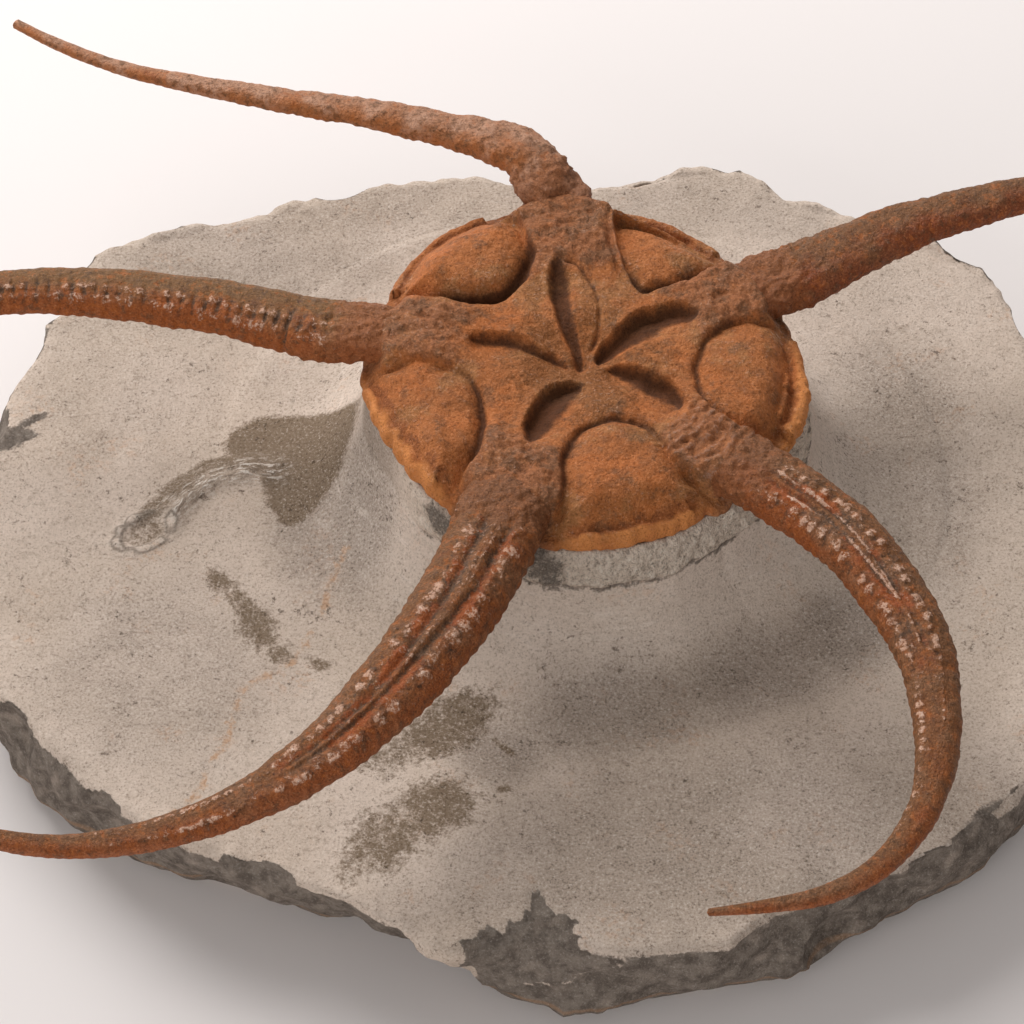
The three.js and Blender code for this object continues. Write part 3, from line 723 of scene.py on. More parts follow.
def disc_relief(grid, rim):
    """The height of the disc's top at each point, and its marks for the finish."""
    x, y = grid[..., 0], grid[..., 1]
    radius = np.hypot(x, y)
    depth, size, seeds = OUTLINE_WAVES
    bent = grid + np.stack([depth * cloud(grid, size, seed) for seed in seeds], axis=-1)
    from_rim = rim - radius + 0.25 * cloud(grid, 2, 87)
    flange = step(RIM_WIDTH + 1.1, RIM_WIDTH - 0.3, from_rim)
    behind = step(-0.2, 0.3, y / np.maximum(radius, 0.1))
    plateau = leaving = arm_top = hollow = lobed = 0 * x
    for turn, reach, width in ROOTS.values():
        ahead, aside = toward(x, y, turn), np.abs(toward(x, y, turn + 90))
        half = width / 2
        raised = step(half + 2.6, half - 0.8, aside) * step(7, 13, ahead)
        plateau = np.maximum(plateau, raised)
        near = step(reach - 3.5, reach - 0.5, ahead) * (aside < half + 3)
        taper = 0.75 * step(reach - 3, reach - 0.8, ahead)
        bulge = np.maximum(0, 1 - (aside / (half - 0.15 - taper)) ** 2.6) ** 0.4
        shape = ARM_AXIS - 1 + (ARM_HALF_HEIGHT + 0.72) * bulge - taper
        arm_top = np.where(near > 0, shape, arm_top)
        leaving = np.maximum(leaving, near)
    between = 1 - plateau
    height = mix(MOUTH_TOP, JAW_TOP, step(0.5, 7, radius))
    height += (PLATEAU_TOP - JAW_TOP) * plateau * step(9, 15, radius)
    height = mix(height, RIM_TOP, flange * between)
    lip = hump(from_rim, 0.75, 0.5) - 1.2 * hump(from_rim, 2, 0.6)
    height += mix(0.3, 0.2, behind) * lip * between

    outer = step(5.4, 2, from_rim)
    for outline, edge_top, crest_top, facing, depth in LOBES:
        gap = inside(bent, outline)
        middle = np.mean(outline, axis=0)
        dx, dy = x - middle[0], y - middle[1]
        side = toward(dx, dy, facing) / np.maximum(np.hypot(dx, dy), 0.1)
        foot = mix(edge_top, RIM_TOP - 0.1, outer)
        dome = foot + (crest_top - foot) * (1 - (1 - np.clip(gap / 5, 0, 1)) ** 2.3)
        height = mix(height, dome, step(-0.3, 0.5, gap))
        groove = hump(gap, 0.1, 0.38) * (1 - 0.8 * outer) * mix(0.3, 1, step(-0.5, 0.6, side))
        trough = hump(gap, 0.5, 0.8) * step(0.1, 0.8, side) * (1 - outer)
        height -= 0.4 * groove + depth * trough
        # Painted shade in the groove round the lobe and in the trough at its foot.
        hollow = np.maximum(hollow, 0.62 * groove + depth * trough)
        lobed = np.maximum(lobed, step(-0.4, 0.8, gap))

    gap = inside(bent, LOBES[1][0])
    line = hump(gap, -0.15, 0.2) * step(-0.2, 0.5, toward(x - 9, y - 14, 150) / 6)
    ditch = hump(gap, -0.75, 0.3) * step(-0.2, 0.5, (y - x * 0.6 - 8) / 6)
    height += LINE_HEIGHT * line - 0.3 * ditch

    # Each slit drops steeply at its far side, and its floor climbs evenly to the near one.
    for outline, depth, facing, shade in SLITS:
        gap = inside(bent, outline)
        border = smooth_line(outline, 96, closed=True)
        ahead = np.roll(border, -1, axis=0) - np.roll(border, 1, axis=0)
        spun = np.sign(np.sum(border[:, 0] * ahead[:, 1] - border[:, 1] * ahead[:, 0]))
        outward = toward(ahead[:, 1], -ahead[:, 0], facing) * spun
        far, near = nearest(bent, border[outward > 0]), nearest(bent, border[outward < 0])
        share = near / (near + far)
        pit = step(-0.5, 0.6, gap) * share
        outside = np.minimum(gap, 0)
        bank = hump(outside, 0, 1.3) * step(0.5, 0.2, share)
        lip = hump(outside, -0.6, 0.5) * step(0.6, 0.9, share)
        height += 0.18 * lip - depth * (pit + 0.12 * bank)
        # Painted shade: dark towards the steep far side, where the slit's shadow lies, and a little
        # over its deepest floor.
        shaded = step(-0.9, 0.45, gap) * step(0.75 - shade, 1.25 - shade, share)
        hollow = np.maximum(hollow, np.maximum(shaded, 0.4 * pit) * min(1, 0.72 * depth))
    leaf_gap = line_distance(grid, smooth_line(LEAF_EDGE, 24))[0]
    leaf_edge = hump(leaf_gap, 0, 0.28) * (0.85 + 0.5 * cloud(grid, 1.2, 101))
    height += LEAF_HEIGHT * np.clip(1 - oval(grid, *LEAF) ** 2, 0, 1)
    height -= 0.35 * leaf_edge + 0.6 * hump(np.hypot(x + 0.2, y - 0.2), 0, 0.8)
    # Painted shade along the groove at the leaf's edge.
    hollow = np.maximum(hollow, 0.65 * leaf_edge)

    turn = ROOTS["arm_front_right"][0]
    ahead, aside = toward(x, y, turn), toward(x, y, turn + 90)
    ribbed = step(RIBS[0] - 1, RIBS[0] + 1, ahead) * step(RIBS[1] + 1, RIBS[1] - 1, ahead)
    ribbed = ribbed * step(5, 3.2, np.abs(aside + 0.3))
    bend = ahead + 0.08 * aside**2 + 0.5 * cloud(grid, 2.5, 61)
    ribs = ribbed * np.cos(2 * math.pi * bend / RIB_SPACING) * (1 + 1.5 * cloud(grid, 0.9, 63))
    height += RIB_HEIGHT * ribs

    rough = np.clip(plateau * step(9.5, 14, radius) * (1 - lobed), 0, 1)
    ragged = lumpy(bent, BENT_RAW_LUMPS) + lumpy(grid, RAW_LUMPS)
    even = lumpy(grid, TOP_LUMPS) + lumpy(bent, BENT_TOP_LUMPS)
    rawness = mix(0.12, 1, rough * step(10, 15, radius)) * (1 - 0.5 * flange)
    height += ragged * rawness + even
    height = mix(height, np.minimum(height, arm_top), leaving)
    # The bright rim is widest at the right.
    bearing = np.degrees(np.arctan2(y, x))
    width = 0.5 + 0.6 * hump(bearing, -5, 20) + 0.3 * cloud(grid, 3, 99)
    bright = mix(0.3, 1, step(0.3, -0.15, y / radius)) * between
    marks = {
        "hollow": np.clip(hollow, 0, 1), "rough": rough, "pale": np.clip(ribs, 0, 1) + line,
        "jaw": step(13, 4, radius) * (1 - lobed) * (1 - np.clip(hollow * 1.5, 0, 1)),
        "edge": step(width + 0.8, width - 0.5, from_rim) * bright,
        "dusk": hump(from_rim - width, 0.7, 0.6) * between,
    }
    return height, marks


def disc_stone():
    """Orange-brown iron-stained stone, bright at the rim, with painted shade in its slits, grooves
    and troughs.
    """
    skin = Finish("disc", DISC_COLOURS, specular=0.22)
    grain = skin.noise(0.26, 3, 0.75)
    flecks = skin.noise(0.5, 3, 0.7)
    coarse = skin.noise(1.1, 4, 0.65)
    patch = skin.noise(4.5, 3)
    wide = skin.noise(6, 4, 0.6)
    torn = coarse - 0.5
    raw, rim = skin.mark("rough"), skin.mark("edge")
    skin.colour = skin.blend(patch.rise(0.35, 0.65), "orange brown", "brown")
    skin.paint(wide.rise(0.5, 0.62) * 0.6, "olive")
    skin.paint(wide.rise(0.47, 0.36) * 0.5, "rusty")
    skin.paint(coarse.rise(0.48, 0.66) * 0.55, "pores")
    skin.paint(coarse.rise(0.46, 0.34) * 0.3, "bright grains")
    skin.paint((raw + torn * 1.6).rise(0.3, 1.1) * 0.8, "plateau")
    skin.paint((skin.mark("jaw") + torn * 1.4).rise(0.35, 0.95) * 0.8, "jaw")
    skin.paint((skin.mark("dusk") + torn * 1.6).rise(0.35, 1.1) * 0.6, "rim groove")
    edge = (rim + torn * 1.2 + (grain - 0.5) * 0.8).rise(0.25, 1)
    skin.paint(edge * 0.85, "rim")
    skin.paint(coarse.rise(0.44, 0.3) * rim * 0.5, "worn rim")
    dirt = (skin.noise(2.6, 4, 0.7) + raw * 0.06).rise(0.54, 0.68)
    skin.paint(dirt * (1 - rim) * 0.5, "dirt")
    # Painted shade in the slits, the grooves and troughs round the lobes, and along the leaf's
    # edge.
    hollow = (skin.mark("hollow") + torn * 0.6).rise(0.2, 0.9)
    lit = 1 - hollow
    skin.paint(hollow * 0.88, "hollow")
    skin.paint(grain.rise(0.49, 0.74) * 0.75, "dark grains", "MULTIPLY")
    skin.paint(grain.rise(0.48, 0.27) * lit * 0.4, "pale grains")
    # Pale tops on the ribs, the raised line and the rough plateaus: partly wear, partly painted
    # highlight.
    pale = (skin.mark("pale") * 0.6 + raw * 0.2 + (grain - 0.5) * 2.4).rise(0.5, 1.1)
    skin.paint(pale * lit * 0.45, "worn tops and highlights")
    # Painted glints: pale flecks on the glossy patches, which are also made less rough.
    glossy = wide.rise(0.46, 0.56) * flecks.rise(0.5, 0.62) * lit
    skin.paint(glossy * flecks.rise(0.58, 0.7) * 0.3, "painted glints")
    shine = glossy * -0.38 + edge * 0.05 + hollow * 0.1 + 0.68
    return skin.done(grain + coarse * 0.5 + flecks * 0.8, depth=0.22, roughness=shine)


def build_disc():
    degrees = np.arange(DISC_SIDES) * 360 / DISC_SIDES - 180
    angle = np.radians(degrees)
    rim = around(DISC_RIM, degrees)
    torn = mix(1, 0.35, step(-0.2, 0.3, np.sin(angle)))
    rim = rim + torn * lumpy(at(rim, angle, 0), RIM_LUMPS) - 0.1
    # Where an arm leaves, the rim follows a straight line across the arm.
    for turn, reach, width in ROOTS.values():
        off = np.abs((degrees - turn + 180) % 360 - 180)
        chord = reach / np.cos(np.radians(np.minimum(off, 60)))
        ends = [math.degrees(math.atan2(width / 2 + more, reach)) for more in (2, 0)]
        straight = np.where(off < 40, np.minimum(chord, rim + 0.8), rim)
        rim = mix(rim, straight, step(*ends, off))
    share = np.linspace(0.012, 1, DISC_RINGS)[:, None] ** 0.9
    grid = at(share * (rim - 0.35), angle, 0)
    grid[..., 2], marks = disc_relief(grid, rim)
    top, last = (0, 0, grid[0, :, 2].mean()), grid[-1, :, 2]
    side = [at(rim - inset, angle, mix(last, DISC_BOTTOM, drop)) for inset, drop in DISC_SIDE]
    side.append(at(BOTTOM_RADIUS, angle, DISC_BOTTOM))
    grid = np.concatenate([grid, side])
    marks = {name: np.vstack([v] + [v[-1:]] * len(side)) for name, v in marks.items()}
    return closed_mesh("star_disc", top, grid, (0, 0, DISC_BOTTOM), disc_stone(), marks)


disc = build_disc()
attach(disc, "root")
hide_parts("disc")


# ------------------------------------------------------------------- the arms
# Five tapering arms of small iron-stained plates, joined to the disc and free beyond
# it. The two front arms show the mouth side with its furrows and rows of knobs, the
# others are worn to plain cross bars and grains. Each is swept along its own line.

# Each arm's line beyond the disc: x, y, z and width.
ARM_LINES = {
    "arm_back": [
        (-3.5, 23.7, 29.6, 6.1), (-4.6, 25.5, 30.4, 6), (-6.5, 27.2, 30.9, 5.5),
        (-9.4, 28.6, 31, 4.9), (-14.6, 30.2, 31, 3.9), (-23, 33.1, 30.5, 3.2),
        (-32.4, 35.6, 30, 2.7), (-41, 38.2, 29.5, 2.1), (-48.5, 41, 29, 1.6),
        (-55, 44.3, 29, 1.3), (-60, 47.6, 29, 1.1),
    ],
    "arm_right": [
        (22.3, 12.2, 28.5, 7.2), (27.3, 14.5, 29.4, 6.3), (33, 17.3, 30, 5.5),
        (38.7, 19.2, 30.4, 4.6), (45.5, 21.4, 30.5, 4), (53, 23.4, 30.2, 3.5),
        (61, 25, 29.7, 2.9), (68.5, 26.6, 29, 2.2), (75, 28.8, 28.4, 1.3),
    ],
    "arm_front_right": [
        (20.7, -17.4, 28.5, 7.3), (25.2, -21.8, 28.5, 6.9), (29.4, -28.2, 28, 6.5),
        (32.2, -34.6, 27.5, 5.7), (33.1, -41.3, 27, 4.9), (32.8, -47.9, 26.5, 4),
        (30.8, -54, 26, 3), (26.9, -58.9, 25.5, 2.3), (22, -61.6, 25, 1.9),
        (16.3, -62.9, 25, 1.3), (10.9, -63.6, 25, 0.7),
    ],
    "arm_front_left": [
        (-10, -24.9, 28.5, 8.8), (-13.5, -32.4, 28.5, 8.3), (-17.8, -39, 28, 7.5),
        (-22.6, -44.5, 27, 6.4), (-27.4, -48.4, 26, 5.3), (-31.8, -51.2, 25.5, 4.3),
        (-36.6, -53.4, 25, 3.6), (-43, -55.2, 24.6, 2.9), (-49.3, -55.9, 24.6, 2.3),
        (-55, -55.4, 25, 2), (-60.6, -53.4, 25.2, 1.5), (-65, -50.8, 25.4, 0.9),
    ],
    "arm_left": [
        (-26.1, 5.1, 28.1, 6.9), (-31.6, 6.6, 28.1, 6.5), (-37.2, 7.9, 28.5, 6),
        (-43.8, 8.7, 28.9, 5.7), (-49.9, 9.3, 29, 5.3), (-56, 9.4, 29, 4.9),
        (-62.5, 9, 28.8, 4.3), (-69.5, 8.3, 28.5, 3.5), (-76.5, 7.6, 28.1, 2.5),
        (-83.5, 7.8, 27.8, 1.2),
    ],
}
# The part of an arm that is sunk into the disc, and the share of the points round an
# arm that lie on its upper side.
HIDDEN_ROOT = 3.2
TOP_SHARE = 0.7
# A plate's length: the least it can be, and how much it grows with the arm's width.
PLATE = (0.9, 0.06)
# How far out the furrows and knobs begin, and how far out the roughness of the root and
# its own skin reach: each fades in or out between two distances.
PLATES_START = (4.5, 8.5)
ROUGH_ROOT = (11, 4)
ROOT_SKIN = (8.5, 4)
# How the plates are shaped, unless an arm's own list says otherwise. Places and
# spreads are in shares of the arm's half width, ends in shares of its length, and the
# crack's place in millimetres from the root: there is no crack if it is below 0.
ARM_SHAPE = {
    "Points around": 112, "Furrow depth": 0.0, "Furrow end": 0.0, "Furrow spread": 0.0,
    "Ridge spread": 0.0, "Ridge shine": 0.0, "Middle": 0.0, "Knob height": 1.0, "Knob place": 0.5,
    "Knob spacing": 1.0, "Knob side": 0.0, "Knob end": 2.0, "Granule height": 0.15,
    "Bar height": 0.0, "Lump height": 1.0, "Grain height": 1.0, "Crack place": -9.0, "Seed": 0.0,
}
# Each arm: its name, its number of steps, its skin and its own shape.
ARMS = {
    "arm_back": ("back_arm", 400, "dusty arm with painted highlight", {
        "Knob height": 0.2, "Knob spacing": 0.8, "Granule height": 0.6, "Bar height": 0.1,
        "Lump height": 2.2, "Grain height": 2.4, "Seed": 1.0,
    }),
    "arm_right": ("right_arm", 400, "plain arm", {
        "Knob height": 0.25, "Knob place": 0.6, "Knob side": 0.3, "Knob end": 0.3,
        "Granule height": 0.5, "Bar height": 0.3, "Lump height": 0.8, "Grain height": 1.5,
        "Seed": 2.0,
    }),
    "arm_front_right": ("hooked_arm", 600, "varnished arm", {
        "Points around": 138, "Furrow depth": 0.8, "Furrow end": 0.42, "Ridge spread": 0.25,
        "Ridge shine": 1.4, "Middle": 0.2, "Knob spacing": 1.1, "Knob side": 1.0,
        "Knob end": 0.75, "Granule height": 0.2, "Seed": 3.0,
    }),
    "arm_front_left": ("front_arm", 600, "varnished arm", {
        "Points around": 138, "Furrow depth": 0.9, "Furrow end": 0.5, "Furrow spread": 0.16,
        "Ridge spread": 0.05, "Ridge shine": 0.6, "Middle": -0.12, "Knob spacing": 0.9,
        "Granule height": 0.1, "Lump height": 0.8, "Seed": 4.0,
    }),
    "arm_left": ("left_arm", 440, "ruddy arm", {
        "Middle": -0.52, "Knob height": 0.75, "Knob place": 0.2, "Bar height": 0.9,
        "Crack place": 11.0, "Seed": 5.0,
    }),
}
# Each skin: its colours on top, in front and at the root, then how dusty it is, how strongly
# its knobs are painted pale, with wear and painted highlights, and how gritty it is.
ARM_SKINS = {
    "plain arm": ((116, 76, 44), (128, 64, 30), (140, 84, 48), 0.05, 0.5, 0.65),
    "dusty arm with painted highlight": ((166, 119, 90), (162, 98, 54), (138, 86, 54), 0.5, 0.4, 0.65),
    "ruddy arm": ((118, 82, 46), (146, 76, 30), (144, 86, 50), 0.05, 0.85, 0.6),
    "varnished arm": ((118, 76, 42), (144, 76, 34), (126, 78, 46), 0.1, 0.85, 0.7),
}
ARM_COLOURS = {
    "dark pores": (86, 60, 38), "rusty pores": (172, 94, 38), "furrows": (74, 56, 42),
    "rust": (164, 80, 28), "dust": (190, 150, 126), "dark grains": (124, 108, 94),
    "pale grains": (214, 150, 104), "worn knobs and highlights": (204, 160, 134), "painted knob glints": (234, 212, 196),
}


def arm_rail(node, steps):
    """The line of an arm as a bare polyline that carries its sizes and directions."""
    turn, reach, width = ROOTS[node]
    way = np.array([math.cos(math.radians(turn)), math.sin(math.radians(turn))])
    width = min(width * 0.92, ARM_LINES[node][0][3] * 1.05)
    start = [(*(way * (reach - HIDDEN_ROOT)), ARM_AXIS - 0.6, width),
             (*(way * (reach - 0.6)), ARM_AXIS + 0.1, width)]
    line = smooth_line(start + ARM_LINES[node], 4000)
    length = np.linalg.norm(np.diff(line[:, :3], axis=0), axis=1).cumsum()
    length = np.concatenate([[0], length])
    plate = np.cumsum(np.diff(length) / (PLATE[0] + PLATE[1] * line[1:, 3]))
    plate = np.concatenate([[0], plate])
    even = np.linspace(0, plate[-1], steps)
    line = np.stack([np.interp(even, plate, column) for column in line.T], axis=-1)
    length = np.interp(even, plate, length)
    ahead = np.gradient(line[:, :3], axis=0)
    ahead /= np.linalg.norm(ahead, axis=1)[:, None]
    side = np.cross(ahead, (0, 0, 1))
    side /= np.linalg.norm(side, axis=1)[:, None]
    share = length / length[-1]
    half = line[:, 3] / 2
    tip = np.sqrt(np.clip((length[-1] - length) / np.maximum(0.5 * half, 0.2), 0.02, 1))
    high = np.minimum(ARM_HALF_HEIGHT, line[:, 3] * mix(0.3, 0.42, share)) * tip
    mesh = bpy.data.meshes.new("rail")
    mesh.from_pydata(line[:, :3] * MM, [(n, n + 1) for n in range(steps - 1)], [])
    add_marks(mesh, {
        "half_width": half * tip * MM, "half_height": high * MM, "plates": even,
        "reach": length * MM, "share": share, "side": side, "upward": np.cross(side, ahead),
    })
    return add_object("rail", mesh)


def arm_tree():
    """The node tree that sweeps an arm along its rail and raises its plates."""
    tree = bpy.data.node_groups.new("arm", "GeometryNodeTree")
    kinds = {"Rail": "Geometry", **dict.fromkeys(ARM_SHAPE, "Float"), "Points around": "Int"}
    for name, kind in {**kinds, "Skin": "Material"}.items():
        tree.interface.new_socket(name, in_out="INPUT", socket_type="NodeSocket" + kind)
    tree.interface.new_socket("Arm", in_out="OUTPUT", socket_type="NodeSocketGeometry")
    given = tree.nodes.new("NodeGroupInput")

    def add(kind, output=0, slots={}, **settings):
        return work_out(tree, kind, output, slots, **settings)

    def asked(name):
        return Worked(tree, given.outputs[name])

    def stored(name, kind="FLOAT"):
        slots = {"Name": name}
        return add("GeometryNodeInputNamedAttribute", "Attribute", slots, data_type=kind)

    def captured(geometry, kind, name, value):
        """Some geometry, and a value as it is at each of its points at this stage."""
        node = tree.nodes.new("GeometryNodeCaptureAttribute")
        node.capture_items.new(kind, name)
        feed(node, {"Geometry": geometry, name: value})
        return Worked(tree, node.outputs["Geometry"]), Worked(tree, node.outputs[name])

    def mound(value, middle, width):
        """A smooth hump, 1 high, round a middle value."""
        off = (value - middle) * (1 / width)
        return (off * off * -1).sum("EXPONENT")

    def clouds(size, detail=2.0):
        """Cloudy values, about -1 to 1, over the bare arm."""
        slots = {"Scale": 1 / (size * MM), "Detail": detail, "W": asked("Seed"), "Vector": bare}
        return (add("ShaderNodeTexNoise", 0, slots, noise_dimensions="4D") - 0.5) * 3

    def cells(slots, **settings):
        """How far each point is from the nearest of some spots, and that spot's luck."""
        near = add("ShaderNodeTexVoronoi", "Distance", slots, **settings)
        return near, Worked(tree, near.socket.node.outputs["Color"])

    def moved(start, way, distance):
        """A place some distance from another in a direction."""
        slots = {0: way, 1: distance, 2: start}
        return add("ShaderNodeVectorMath", 0, slots, operation="MULTIPLY_ADD")

    # The ring round the arm, with more of its points on the upper side.
    ring = add("GeometryNodeCurvePrimitiveCircle", 0, {"Resolution": asked("Points around")})
    ring, share = captured(ring, "FLOAT", "Round", add("GeometryNodeSplineParameter"))
    rail = add("GeometryNodeMeshToCurve", 0, {"Mesh": asked("Rail")})
    rail, centre = captured(rail, "VECTOR", "Centre", add("GeometryNodeInputPosition"))
    slots = {"Curve": rail, "Profile Curve": ring, "Fill Caps": True}
    swept = add("GeometryNodeCurveToMesh", 0, slots)
    upper = share * (math.pi / TOP_SHARE)
    lower = (share - TOP_SHARE) * (math.pi / (1 - TOP_SHARE)) + math.pi
    angle = upper + (lower - upper) * share.sum("GREATER_THAN", TOP_SHARE)
    cosine, sine = angle.sum("COSINE"), angle.sum("SINE")
    across = cosine.sum("ABSOLUTE").sum("POWER", 0.86) * cosine.sum("SIGN")
    high = sine.sum("ABSOLUTE").sum("POWER", 0.8) * sine.sum("SIGN")
    half, half_height = stored("half_width"), stored("half_height")
    side, upward = stored("side", "FLOAT_VECTOR"), stored("upward", "FLOAT_VECTOR")
    bare = moved(moved(centre, side, across * half), upward, high * half_height)

    # Where things are: along the arm, out from its middle line, and from its root.
    wander = clouds(2.2)
    plates = stored("plates") + wander * 0.12
    beat = (plates * (2 * math.pi)).sum("COSINE")
    on_top = sine.rise(0.05, 0.5)
    signed = across - asked("Middle") + clouds(7, 1) * 0.06 + clouds(1.6, 1) * 0.03
    off = signed.sum("ABSOLUTE")
    reach, length = stored("reach"), stored("share")
    started = (reach + wander * (0.8 * MM)).rise(*(end * MM for end in PLATES_START))
    rough_reach = reach + wander * (1.5 * MM)
    rooted = rough_reach.rise(*(end * MM for end in ROUGH_ROOT))

    # The furrow on each side of the middle, and the ridge beside it.
    furrow_depth = asked("Furrow depth")
    fading = (length - asked("Furrow end")).rise(0.12, -0.12) * (clouds(2.4) * 0.45 + 0.85)
    merging = length.rise(0.4, 0.06)
    patchy = clouds(2.6, 1).rise(-0.45, 0.2)
    ridge = mound(off - merging * asked("Ridge spread"), 0.01, 0.045) * fading * patchy
    spread = off - merging * asked("Furrow spread")
    furrow = mound(spread, 0.14, 0.1) * fading

    # The rows of knobs, which only one side keeps on some arms.
    knob_height, knob_side = asked("Knob height"), asked("Knob side")
    row = (off - asked("Knob place")) * (1 / 0.42)
    ragged = clouds(0.7) * 0.16
    spot = plates * asked("Knob spacing") + signed.sum("SIGN") * 0.37 + ragged
    spot = add("ShaderNodeCombineXYZ", 0, {0: spot, 1: row + 0.2 + ragged})
    slots = {"Vector": spot, "Scale": 1, "Randomness": 0.4}
    near, luck = cells(slots, voronoi_dimensions="2D")
    whole = ((asked("Knob end") - length) * 12).sum("MAXIMUM", -1.0)
    favoured = (signed * knob_side * 6 + whole).rise(-0.3, 0.3) * length.rise(0.85, 0.6)
    fate = luck.rise(0.15, 0.6)
    rubble = clouds(0.55)
    in_row = mound(row, 0, 0.7) * favoured
    knob = near.rise(0.66, 0.2) * in_row * (fate * 0.4 + 0.6) * (rubble * 0.4 + 0.85)

    # Granules on the flanks, scales over the root, and bars across the arm.
    near_grain, grain_luck = cells({"Vector": bare, "Scale": 1 / (1.1 * MM)})
    granule = near_grain.rise(0.6, 0.1) * grain_luck
    scales = granule * rooted
    granule, granule_height = granule * off.rise(0.2, 0.4), asked("Granule height")
    barred = mound(signed, knob_side * 0.35, 0.45) * (clouds(2) * 0.5 + 0.9)
    gap = beat.rise(0.1, -0.9) * barred * asked("Bar height")
    crack = mound(reach * (1 / MM) - asked("Crack place") - wander * 0.5, 0, 0.2)
    crack = crack * (clouds(1.9) * 0.5 + 0.5)

    relief = ridge * 0.07 * furrow_depth - furrow * 0.12 * furrow_depth
    relief = relief + (knob * 0.07 + rubble * in_row * 0.03) * knob_height - gap * 0.06
    relief = (relief + granule * 0.1 * granule_height) * on_top * started
    relief = relief + scales * 0.09 + beat * 0.018 * sine.rise(0.6, 0.1)
    relief = relief * half - crack * (0.25 * MM)
    fineness = half.rise(0, 3 * MM) * MM
    relief = relief + clouds(3.4) * 0.22 * asked("Lump height") * fineness
    uneven = rooted * 2.2 + asked("Grain height")
    relief = relief + (clouds(1.5) * 0.09 + clouds(0.7) * 0.07) * uneven * fineness
    place = moved(moved(bare, side, cosine * relief), upward, sine * relief)
    shape = add("GeometryNodeSetPosition", 0, {"Geometry": swept, "Position": place})

    # Marks for the finish: pale tops, partly worn and partly painted highlight, dark furrows, and
    # where it joins the disc.
    pale = knob * (fate * 0.5 + 0.6) * knob_height + ridge * asked("Ridge shine")
    between = mound(row, 0, 0.6) * near.rise(0.3, 0.6) * favoured * knob_height * 0.45
    dull = mound(off, 0.3, 0.35) * fading * 0.35
    dark = (furrow * furrow_depth + gap * 0.8 + between + dull) * on_top
    outward = moved(moved((0, 0, 0), side, cosine), upward, sine)
    marks = {
        "pale": (pale + granule * 0.6 * granule_height) * on_top * started + scales * 0.5,
        "dark": dark * started + crack,
        "rust": mound(spread, 0.24, 0.17) * fading * furrow_depth * on_top * started,
        "root": rough_reach.rise(*(end * MM for end in ROOT_SKIN)),
        "front": add("ShaderNodeSeparateXYZ", "Y", {0: outward}) * -1 + wander * 0.2,
    }
    for name, value in marks.items():
        slots = {"Geometry": shape, "Name": name, "Value": value}
        shape = add("GeometryNodeStoreNamedAttribute", 0, slots)
    shape = add("GeometryNodeRealizeInstances", 0, {"Geometry": shape})
    shape = add("GeometryNodeSetMaterial", 0, {"Geometry": shape, "Material": asked("Skin")})
    feed(tree.nodes.new("NodeGroupOutput"), {"Arm": shape})
    return tree


def arm_skin(name, top, front, root, dust, worn, grit):
    """Brown plates: olive on top, rusty in front, dark in the furrows, pale on the knobs with
    painted highlights and glints.
    """
    colours = {**ARM_COLOURS, "top": top, "front": front, "root": root}
    skin = Finish(name, colours, specular=0.24)
    grain = skin.noise(0.24, 3, 0.75)
    flecks = skin.noise(0.42, 3, 0.7)
    coarse = skin.noise(0.9, 4, 0.65)
    patch = skin.noise(3.5, 3)
    torn = coarse - 0.5
    knobs = skin.mark("pale")
    # Top and front colours follow which way the surface faces; on the back arm the pale top colour
    # is partly a painted highlight.
    facing = (skin.mark("front") + (patch - 0.5) * 2 + torn).rise(-0.2, 0.9)
    skin.colour = skin.blend(facing, "top", "front")
    skin.paint(coarse.rise(0.5, 0.66) * 0.6, "dark pores")
    skin.paint(coarse.rise(0.47, 0.34) * 0.5, "rusty pores")
    dark = (skin.mark("dark") + torn * 1.6 + (flecks - 0.5)).rise(0.25, 0.95)
    skin.paint(dark * 0.8, "furrows")
    rust = (skin.mark("rust") + torn * 2 + (patch - 0.5) * 2).rise(0.35, 0.95)
    skin.paint(rust * 0.7, "rust")
    skin.paint(patch.rise(0.56, 0.36) * coarse.rise(0.6, 0.45) * dust, "dust")
    skin.paint((skin.mark("root") + torn * 1.2).rise(0.15, 0.95) * 0.7, "root")
    skin.paint(grain.rise(0.49, 0.72) * grit, "dark grains", "MULTIPLY")
    skin.paint(grain.rise(0.47, 0.28) * 0.5 * grit, "pale grains")
    # Pale knobs: partly worn plates and partly painted highlight, with painted glints on the
    # brightest grains.
    pale = (knobs + (flecks - 0.5) * 3.8 + (grain - 0.5) * 2).rise(0.45, 1.15)
    pale = pale * knobs.rise(0.05, 0.4)
    skin.paint(pale * worn, "worn knobs and highlights")
    skin.paint(pale * grain.rise(0.48, 0.36) * worn, "painted knob glints")
    shine = pale * -0.3 + coarse.rise(0.3, 0.7) * -0.12 + 0.66
    return skin.done(grain * grit + flecks * 0.8 + coarse * 0.7, depth=0.24, roughness=shine)


def build_arm(tree, node, name, steps, skin, shape):
    rail = arm_rail(node, steps)
    modifier = rail.modifiers.new("arm", "NODES")
    modifier.node_group = tree
    wanted = {**ARM_SHAPE, **shape, "Skin": skin}
    for socket in tree.interface.items_tree:
        if socket.name in wanted:
            modifier[socket.identifier] = wanted[socket.name]
    bpy.context.view_layer.update()
    swept = rail.evaluated_get(bpy.context.evaluated_depsgraph_get())
    mesh = bpy.data.meshes.new_from_object(swept)
    mesh.shade_smooth()
    piece = add_object(name, mesh)
    bpy.data.objects.remove(rail)
    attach(piece, "root")
    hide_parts(node)


tree = arm_tree()
skins = {name: arm_skin(name, *looks) for name, looks in ARM_SKINS.items()}
for node, (name, steps, skin, shape) in ARMS.items():
    build_arm(tree, node, name, steps, skins[skin], shape)


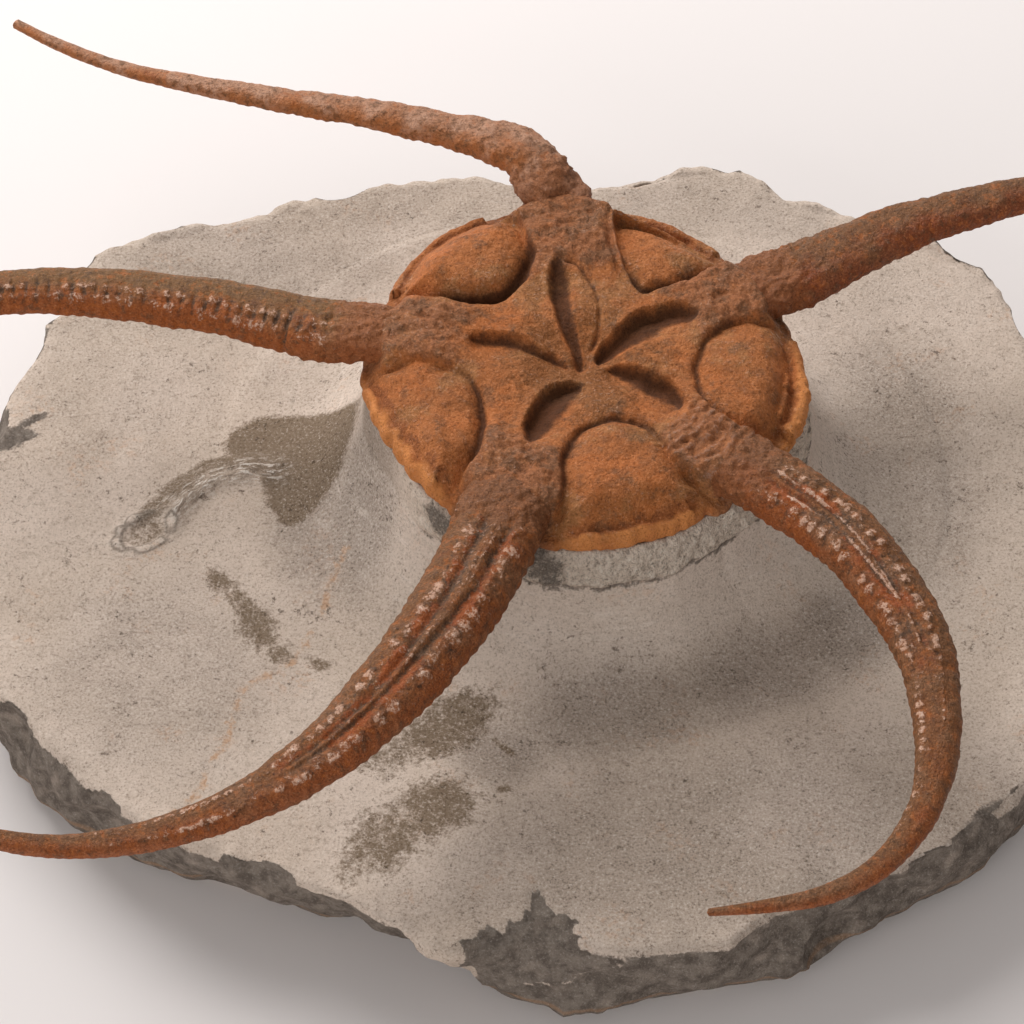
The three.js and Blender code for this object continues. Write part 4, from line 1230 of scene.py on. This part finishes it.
# ------------------------------------------- the table, the lights, the camera
# The part lies on a pale matt table that curves up into a wall behind it. A small soft
# lamp stands behind it and a bigger, more distant one in front of it. The table and the
# lamps are in metres, the camera's place in millimetres.

TABLE_HALF = 3.0
TABLE_BACK = 1.2
TABLE_BEND = 0.5
TABLE_COLOUR = (230, 223, 220)
TABLE_ROUGHNESS = 0.9
# Each lamp: its place, its size and its power.
KEY_LAMP = ((-0.19, 0.37, 0.33), 0.42, 3.6)
FILL_LAMP = ((-0.55, -0.95, 0.36), 1.0, 6.2)
SKY_COLOUR = (1, 0.985, 0.98, 1)
SKY_STRENGTH = 0.34
CAMERA_PLACE = (-7.1, -313.7, 392.6)
CAMERA_TILT = 39
CAMERA_LENS = 168.75


def table():
    profile = [(-TABLE_HALF, 0.0)]
    for degrees in range(0, 91, 6):
        turn = math.radians(degrees)
        back = TABLE_BACK + TABLE_BEND * math.sin(turn)
        profile.append((back, TABLE_BEND * (1 - math.cos(turn))))
    profile.append((TABLE_BACK + TABLE_BEND, TABLE_HALF))
    points = [(x, y, z) for y, z in profile for x in (-TABLE_HALF, TABLE_HALF)]
    corners = range(0, len(points) - 2, 2)
    mesh = bpy.data.meshes.new("table")
    mesh.from_pydata(points, [], [(n, n + 1, n + 3, n + 2) for n in corners])
    mesh.shade_smooth()
    paint = bpy.data.materials.new("table")
    paint.use_nodes = True
    looks = {"Base Color": tint(*TABLE_COLOUR), "Roughness": TABLE_ROUGHNESS}
    feed(paint.node_tree.nodes["Principled BSDF"], looks)
    mesh.materials.append(paint)
    return add_object("table", mesh)


def lamp(name, place, size, power):
    """A square soft lamp that faces the part."""
    light = bpy.data.lights.new(name, "AREA")
    light.size = size
    light.energy = power
    stand = add_object(name, light)
    stand.location = place
    stand.rotation_euler = (-Vector(place)).to_track_quat("-Z", "Y").to_euler()


table()
lamp("key lamp", *KEY_LAMP)
lamp("fill lamp", *FILL_LAMP)

sky = bpy.data.worlds.new("studio")
sky.use_nodes = True
feed(sky.node_tree.nodes["Background"], {"Color": SKY_COLOUR, "Strength": SKY_STRENGTH})
bpy.context.scene.world = sky

eye = add_object("camera", bpy.data.cameras.new("camera"))
eye.data.lens = CAMERA_LENS
eye.location = [value * MM for value in CAMERA_PLACE]
eye.rotation_euler = (math.radians(CAMERA_TILT), 0, 0)
bpy.context.scene.camera = eye
bpy.context.scene.view_settings.view_transform = "Standard"
